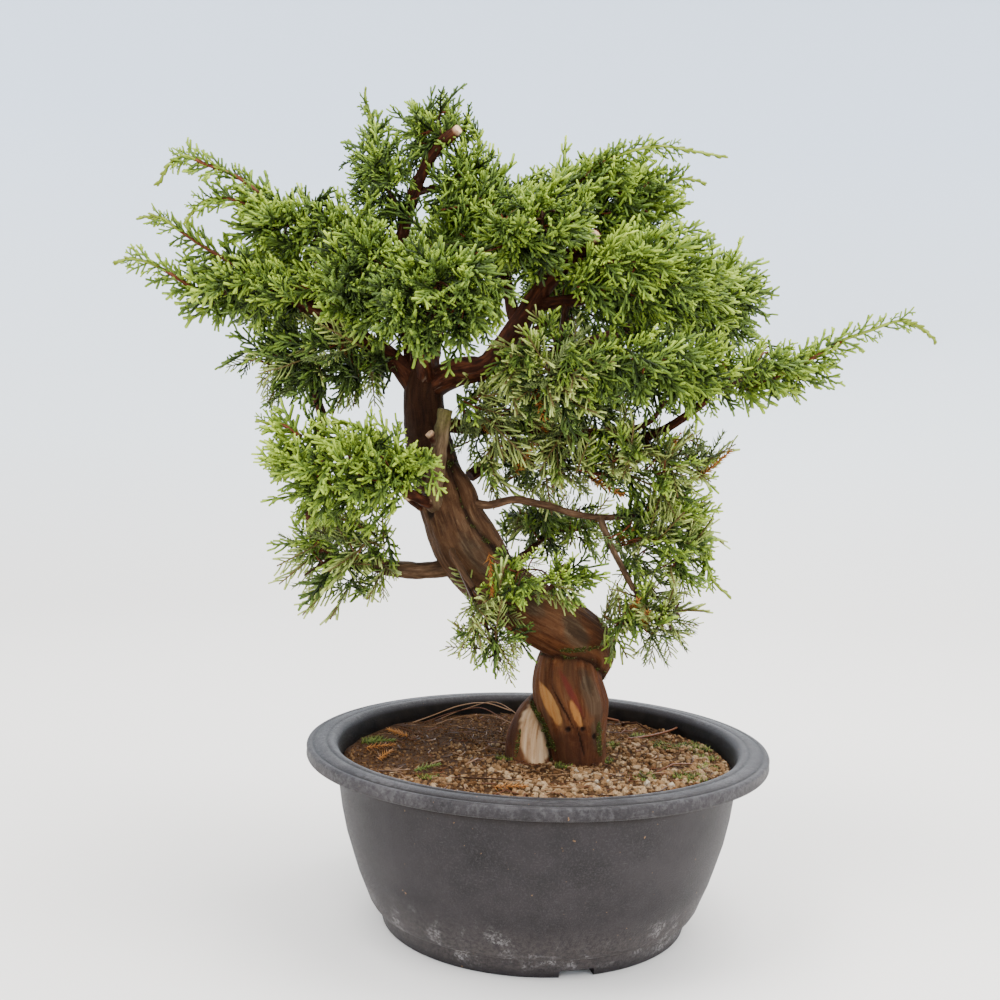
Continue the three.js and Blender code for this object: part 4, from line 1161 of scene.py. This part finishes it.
def add_sprig(growth, rng, family, foot, direction, size, light, needles=0, dead=0.12):
    """One sprig, kept inside the plant's own box: near its sides it is smaller, or left off."""
    direction = unit(direction)
    if hides_wood(foot + direction * SPRIG_LENGTH * size * 0.5):
        return
    roll = rng.uniform(0, math.tau)
    if needles > rng.random():
        family = "needle" if rng.random() < NEEDLE_SHARE else "loose"
        tone = LOOSE_TONE if family == "loose" else DYING_TONE if rng.random() < dead else NEEDLE_TONE
    else:
        tone = int(min(LIGHTEST_TONE, max(0, round(light * (LIGHTEST_TONE + 1) - 0.5 + rng.gauss(0, 0.45)))))
    number = rng.randrange(len(templates[family]))
    height, radius = balls[family][number]
    for _ in range(4):
        middle = foot + direction * height * size
        if np.all(middle - radius * size > box_low) and np.all(middle + radius * size < box_high):
            growth.sprig(family, number, foot, direction, roll, size, tone)
            return
        size *= 0.8


def grow_leader(growth, rng, points, light):
    """A long new shoot, with short side sprigs that shrink to nubs towards its nodding tip."""
    line = np.clip(smooth_line(points, LEADER_STEP), box_low + LEADER_TIP, box_high - LEADER_TIP)
    half = int(len(line) * 0.45)
    growth.twig(line[:half + 1], along([1.35, 1.1], half + 1), 1)
    growth.twig(line[half:], along([1.1, 0.95, 0.75], len(line) - half), 2)
    directions = line_frames(line)[0]
    for index in range(len(line) - 1):
        share = index / len(line)
        side = 1 if index % 2 else -1
        out = unit(np.array((0, rng.gauss(0, 0.6), side)) + 0.25 * wander(rng))
        heading = unit(directions[index] * (0.8 + 0.6 * share) + out * 0.9)
        if share > NUBS_FROM:
            reach = rng.uniform(2.2, 4.5) * (1.7 - share)
            end = line[index] + unit(heading + 0.5 * directions[index]) * reach
            nub = arc(line[index], heading, np.clip(end, box_low + 1, box_high - 1), 3)
            growth.twig(nub, (0.75, 0.8, 0.7), 2)
            continue
        size = (1.45 - 1.1 * share) * rng.uniform(0.75, 1.15)
        add_sprig(growth, rng, "small", line[index], heading, size, light + 0.2)
        if share < 0.4:
            other = unit(directions[index] - out * 0.8 + 0.3 * wander(rng))
            add_sprig(growth, rng, "small", line[index], other, size * 0.9, light + 0.1)


def nearest_carrier(carriers, target, middle, reach):
    """The place on the mass's wood that a new twig to the target leaves from: close by, and not
    further out than the target is."""
    spots = np.array([carrier[0] for carrier in carriers])
    gaps = np.linalg.norm(spots - target, axis=1)
    depth = np.linalg.norm((spots - middle) / reach, axis=1)
    beyond = depth > np.linalg.norm((target - middle) / reach) - 0.04
    return carriers[int(np.argmin(gaps + 40 * beyond + 30 * (gaps < 4)))]


def carried_by(path, radii, first, last):
    """Places that twigs can leave from, on a stretch of a path: point, direction and radius."""
    return [(path[spot], unit(path[spot + 1] - path[spot - 1]), radii[spot]) for spot in range(first, last)]


def grow_mass(growth, name, index):
    bough, at, middle, reach, fullness, light, needles, leaders = masses[name]
    hang = 1.0 + needles
    rng = random.Random(index + 11)
    middle, reach = np.array(middle, float), np.array(reach, float)
    line, radii = bough_lines[bough]
    place_on = min(len(line) - 1, int(round(at * (len(line) - 1))))
    start = line[place_on]
    lead = unit(line[-1] - line[-2]) if at == 1 else unit(middle - start)
    stem = arc(start - lead * 0.5, lead, middle + 0.25 * (middle - start), STEM_POINTS)
    stem_radii = along([radii[place_on] * 0.85, 0.8], STEM_POINTS)
    growth.twig(stem, stem_radii, 0)
    carriers = carried_by(stem, stem_radii, 2, STEM_POINTS - 1)
    turn = rng.uniform(0, math.tau)
    for number in range(LIMBS_PER_MASS):
        target = middle + spiral(number, LIMBS_PER_MASS, turn) * reach * rng.uniform(0.40, 0.62)
        foot, course, radius = nearest_carrier(carriers, target, middle, reach)
        path = arc(foot, unit(target - foot) + 0.8 * course, target, LIMB_POINTS)
        thick = along([min(radius, 1.1), 0.6], LIMB_POINTS)
        growth.twig(path, thick, 0)
        carriers += carried_by(path, thick, 1, LIMB_POINTS - 1)
        carriers.append((path[-1], unit(path[-1] - path[-2]), thick[-1]))
    spread = (reach[0] * reach[1] + reach[1] * reach[2] + reach[0] * reach[2]) / 3 * 4 * math.pi
    tips = int(fullness * spread / TIP_SPACING ** 2)
    turn = rng.uniform(0, math.tau)
    trunk_spot = TRUNK_LINE[np.argmin(np.linalg.norm(TRUNK_LINE - middle, axis=1))]
    away = unit((middle - trunk_spot) * (1, 1, 0.6))
    for number in range(tips):
        outward = spiral(number, tips, turn)
        surface = outward * reach
        lump = noise.noise(Vector(outward) * 2.2 + Vector((index, 0, 0)))
        tip = middle + surface * (rng.uniform(0.74, 1.04) + 0.2 * lump)
        size = min(1.1, np.linalg.norm(surface) / 22) * rng.uniform(0.78, 1.15)
        out = unit(outward / reach)
        swirl = np.array(noise.noise_vector(Vector(tip) / 38))
        fall = -0.35 * hang if out[2] < 0.1 else 0.22
        final = unit(0.5 * out + 0.62 * away + 0.8 * swirl + np.array((0, 0, fall)) + 0.16 * wander(rng))
        foot = tip - final * SPRIG_LENGTH * size * 0.92
        start, course, _ = nearest_carrier(carriers, foot, middle, reach)
        path = arc(start, unit(foot - start) + 0.6 * course, foot + final * 3, 4)
        growth.twig(path, (0.62, 0.55, 0.5, 0.45), 1)
        # A plume's tone: painted light makes it lighter where it faces up and where it stands out from its
        # mass, and darker deeper in; the mass's own lightness and random patches add to it.
        patch = 0.16 * noise.noise(Vector(tip) / 34)
        rim = np.linalg.norm((tip - middle) / reach) - 0.9
        painted_light_tone = light * 0.6 + 0.34 * (0.5 + 0.5 * out[2]) + patch + 0.5 * rim
        add_sprig(growth, rng, "plume", foot, final, size, painted_light_tone, needles)
        beside = unit(np.cross(final, unit(0.6 * out + 0.4 * wander(rng))))
        for share, side in ((0.3, 1), (0.6, -1), (0.9, 1)):
            heading = final + side * beside * rng.uniform(0.6, 1.0) + 0.25 * wander(rng)
            side_foot = path[0] + (path[-1] - path[0]) * share
            side_size = size * rng.uniform(0.62, 0.88)
            add_sprig(growth, rng, "plume", side_foot, heading, side_size, painted_light_tone - 0.08, needles)
    # Inner sprigs on the mass's wood take its darkest greens: painted shade within the crown.
    for number in range(int(tips * INNER_SHARE)):
        spot, course, _ = carriers[rng.randrange(len(carriers))]
        heading = unit(spot - middle + 6 * wander(rng)) + 0.4 * course
        add_sprig(growth, rng, "inner", spot, heading, rng.uniform(0.7, 0.95), light * 0.3, needles * 1.3)
    for leader in leaders:
        grow_leader(growth, rng, leader, light)


# Without a seed the noise that swirls the sprays starts from the clock, and no two runs agree.
SWIRL_SEED = 1796033312
noise.seed_set(SWIRL_SEED)
mass_number = {name: number for number, name in enumerate(masses)}
for region, names in regions.items():
    growth = Growth()
    for name in names:
        grow_mass(growth, name, mass_number[name])
    leaves = joined(f"foliage_{region}", [
        copies(templates[family][number], np.array(turns), np.array(places), tones)
        for (family, number), (turns, places, tones) in sorted(growth.sprigs.items())
    ], leaf_finishes)
    twigs = joined(f"twigs_{region}", growth.twigs, twig_finishes)
    for piece in (leaves, twigs):
        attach(piece, "root")
        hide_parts(*names)

# Litter: bits of root, bark and twig that lie on the soil, a few fallen sprigs, and patches of
# short moss. Most of it is no thicker than a thread.
FIBRES = 300
FIBRE_SPREAD = 94
LITTER_LIFT = 1.2
FALLEN_LIFT = 2.2
FALLEN_SIZE = 0.75
MOSS_HEIGHT = 2.6
MOSS_DENSITY = 2.4
MOSS_TONE = 3
litter_random = random.Random(17)
litter = []
moss_patches = [
    (88, 31, 11), (70, 27, 8), (90, 8, 7), (77, -32, 9), (53, -36, 7), (58, 48, 6), (41, 23, 6), (88, -14, 6),
    (-90, 19, 7), (-52, -49, 5), (14, -22, 5), (36, -6, 5), (-16, -12, 5),
]
# Longer pieces: their thickness, their material, and where they lie as (x, y, height above the soil).
strands_of_litter = [
    (0.8, 2, [(50, 34, 0), (64, 46, 1), (78, 60, 2), (89, 72, 5)]),
    (0.35, 1, [(-16, 92, 2), (-32, 93, 6), (-47, 87, 5), (-62, 77, 2), (-72, 60, 0)]),
    (0.3, 1, [(-8, 80, 0), (-26, 90, 7), (-44, 86, 3), (-58, 74, 0)]),
    (0.3, 2, [(-20, 76, 0), (-34, 84, 4), (-50, 82, 2), (-66, 66, 0)]),
    (0.35, 1, [(-12, 60, 0), (-28, 70, 3), (-46, 72, 1), (-60, 58, 0)]),
    (0.7, 0, [(46, 74, 0), (58, 70, 2), (66, 60, 0)]),
    (0.9, 2, [(28, 80, 0), (38, 84, 2), (48, 80, 1)]),
    (0.5, 0, [(-36, -52, 0), (-22, -58, 1), (-8, -56, 0)]),
    (0.5, 1, [(-4, -62, 0), (12, -68, 1), (26, -62, 0)]),
    (0.45, 2, [(60, -30, 0), (70, -18, 1), (84, -10, 0)]),
]
for _ in range(FIBRES):
    out, round_angle = math.sqrt(litter_random.random()) * FIBRE_SPREAD, litter_random.uniform(0, math.tau)
    x, y = out * math.cos(round_angle), out * math.sin(round_angle)
    turn, reach = litter_random.uniform(0, math.tau), litter_random.uniform(2, 6.5)
    bow = litter_random.uniform(-0.5, 0.5)
    strands_of_litter.append((litter_random.uniform(0.14, 0.38), litter_random.randrange(3), [
        (x + reach * s * math.cos(turn + bow * s), y + reach * s * math.sin(turn + bow * s),
         litter_random.uniform(0, 0.9)) for s in (-1, 0, 1)]))
for thick, number, line in strands_of_litter:
    path = [(x, y, soil_height(x, y) + LITTER_LIFT + lift) for x, y, lift in line]
    path = smooth_line(path, 3) if len(path) > 3 else np.array(path, float)
    litter.append(set_down(rod(path, np.full(len(path), thick)), number))
for x, y, size in moss_patches:
    for _ in range(int(size * size * MOSS_DENSITY)):
        out, round_angle = size * litter_random.random() ** 0.6, litter_random.uniform(0, math.tau)
        spot = (x + out * math.cos(round_angle), y + out * math.sin(round_angle))
        if math.hypot(*spot) > SOIL_RADIUS - 3:
            continue
        foot = np.array((*spot, soil_height(*spot) + 0.2))
        heading = unit(np.array((0, 0, 1)) + 0.4 * wander(litter_random))
        spike = needle(foot, heading, MOSS_HEIGHT * litter_random.uniform(0.5, 1.1), 0.45)
        litter.append(set_down(spike, MOSS_TONE + (litter_random.random() < 0.4)))
trunk_skin, trunk_normals = mesh_points(trunk.data)
for index in np.flatnonzero(painted["moss"] > 0.4)[::3]:
    heading = unit(trunk_normals[index] + (0, 0, 0.5) + 0.35 * wander(litter_random))
    spike = needle(trunk_skin[index], heading, litter_random.uniform(0.8, 1.9), 0.32)
    litter.append(set_down(spike, MOSS_TONE + (litter_random.random() < 0.25)))
# Fallen sprigs, as (x, y, which way they point in degrees, the first of their three materials).
fallen = [
    (-90, -6, 30, 5), (-80, -24, 80, 5), (-92, 6, 20, 8), (-60, -44, 50, 8), (-70, 20, 150, 5),
    (-20, -70, 10, 5),
]
for x, y, turn, number in fallen:
    angle = math.radians(turn)
    heading = np.array((math.cos(angle), math.sin(angle), 0.06))
    litter.append(copies(
        templates["needle"][0], np.array([turned(heading, 0) * FALLEN_SIZE * MM]),
        np.array([place(x, y, soil_height(x, y) + FALLEN_LIFT)]), [number]))
litter_finishes = [leaf_finish(name, colour) for name, colour in (
    ("litter_brown", (0.05, 0.02, 0.008)), ("litter_pale", (0.24, 0.125, 0.056)),
    ("litter_red", (0.125, 0.042, 0.016)), ("moss_deep", (0.05, 0.06, 0.0095)),
    ("moss_light", (0.15, 0.175, 0.03)), ("fallen_dark", (0.15, 0.048, 0.012)),
    ("fallen_orange", (0.4, 0.16, 0.034)), ("fallen_pale", (0.48, 0.25, 0.07)),
    ("fallen_green_dark", (0.07, 0.095, 0.02)), ("fallen_green", (0.14, 0.19, 0.036)),
    ("fallen_green_pale", (0.24, 0.3, 0.06)))]
litter_piece = joined("soil_litter", litter, litter_finishes)
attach(litter_piece, "root")
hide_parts("soil")

# Studio: a pale floor that sweeps up into a wall all round, and soft light from large panels.
FLOOR_RADIUS = 2.0
SWEEP = 0.8
SWEEP_STEPS = 12
WALL_TOP = 1.25
FLOOR_SIDES = 96
LIGHT_AIM = Vector((0, 0, 0.22))
sweep_profile = [(0.001, 0), (FLOOR_RADIUS - SWEEP, 0)]
for step in range(1, SWEEP_STEPS + 1):
    bend = math.pi / 2 * step / SWEEP_STEPS
    sweep_profile.append((FLOOR_RADIUS - SWEEP + SWEEP * math.sin(bend), SWEEP - SWEEP * math.cos(bend)))
sweep_profile.append((FLOOR_RADIUS, WALL_TOP))
bm = bmesh.new()
corners = [bm.verts.new((radius, 0, height)) for radius, height in sweep_profile]
spun(bm, corners, [bm.edges.new(pair) for pair in zip(corners, corners[1:])], FLOOR_SIDES)
bmesh.ops.reverse_faces(bm, faces=bm.faces)
floor = finished(bm, "studio_floor")
studio_paint = Finish("studio_paint", roughness=0.9)
studio_paint.coat(studio_paint.ramp(
    studio_paint.height(), (0.0, (0.86, 0.82, 0.77)), (0.25, (0.80, 0.84, 0.86)), (0.9, (0.66, 0.76, 0.90))))
floor.data.materials.append(studio_paint.material)
floor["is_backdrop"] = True

lights = {
    "key": ((-0.75, -0.55, 1.7), 0.9, 40),
    "fill": ((1.2, -0.7, 1.3), 1.3, 24),
    "top": ((0.6, 0.1, 1.8), 1.2, 44),
    "back": ((0.2, 1.5, 1.1), 1.0, 12),
}
for name, (spot, size, power) in lights.items():
    light = bpy.data.lights.new(name, "AREA")
    light.size = size
    light.energy = power
    holder = shown(name, light)
    holder.location = spot
    holder.rotation_euler = (LIGHT_AIM - Vector(spot)).to_track_quat("-Z", "Y").to_euler()

world = bpy.data.worlds.new("studio")
bpy.context.scene.world = world
world.use_nodes = True
sky = world.node_tree.nodes["Background"].inputs
sky["Color"].default_value = (0.97, 0.98, 1.0, 1)
sky["Strength"].default_value = 1.15

size = {"cad": [list(corner) for corner in cad_box], "visual": [list(corner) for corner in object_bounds()]}
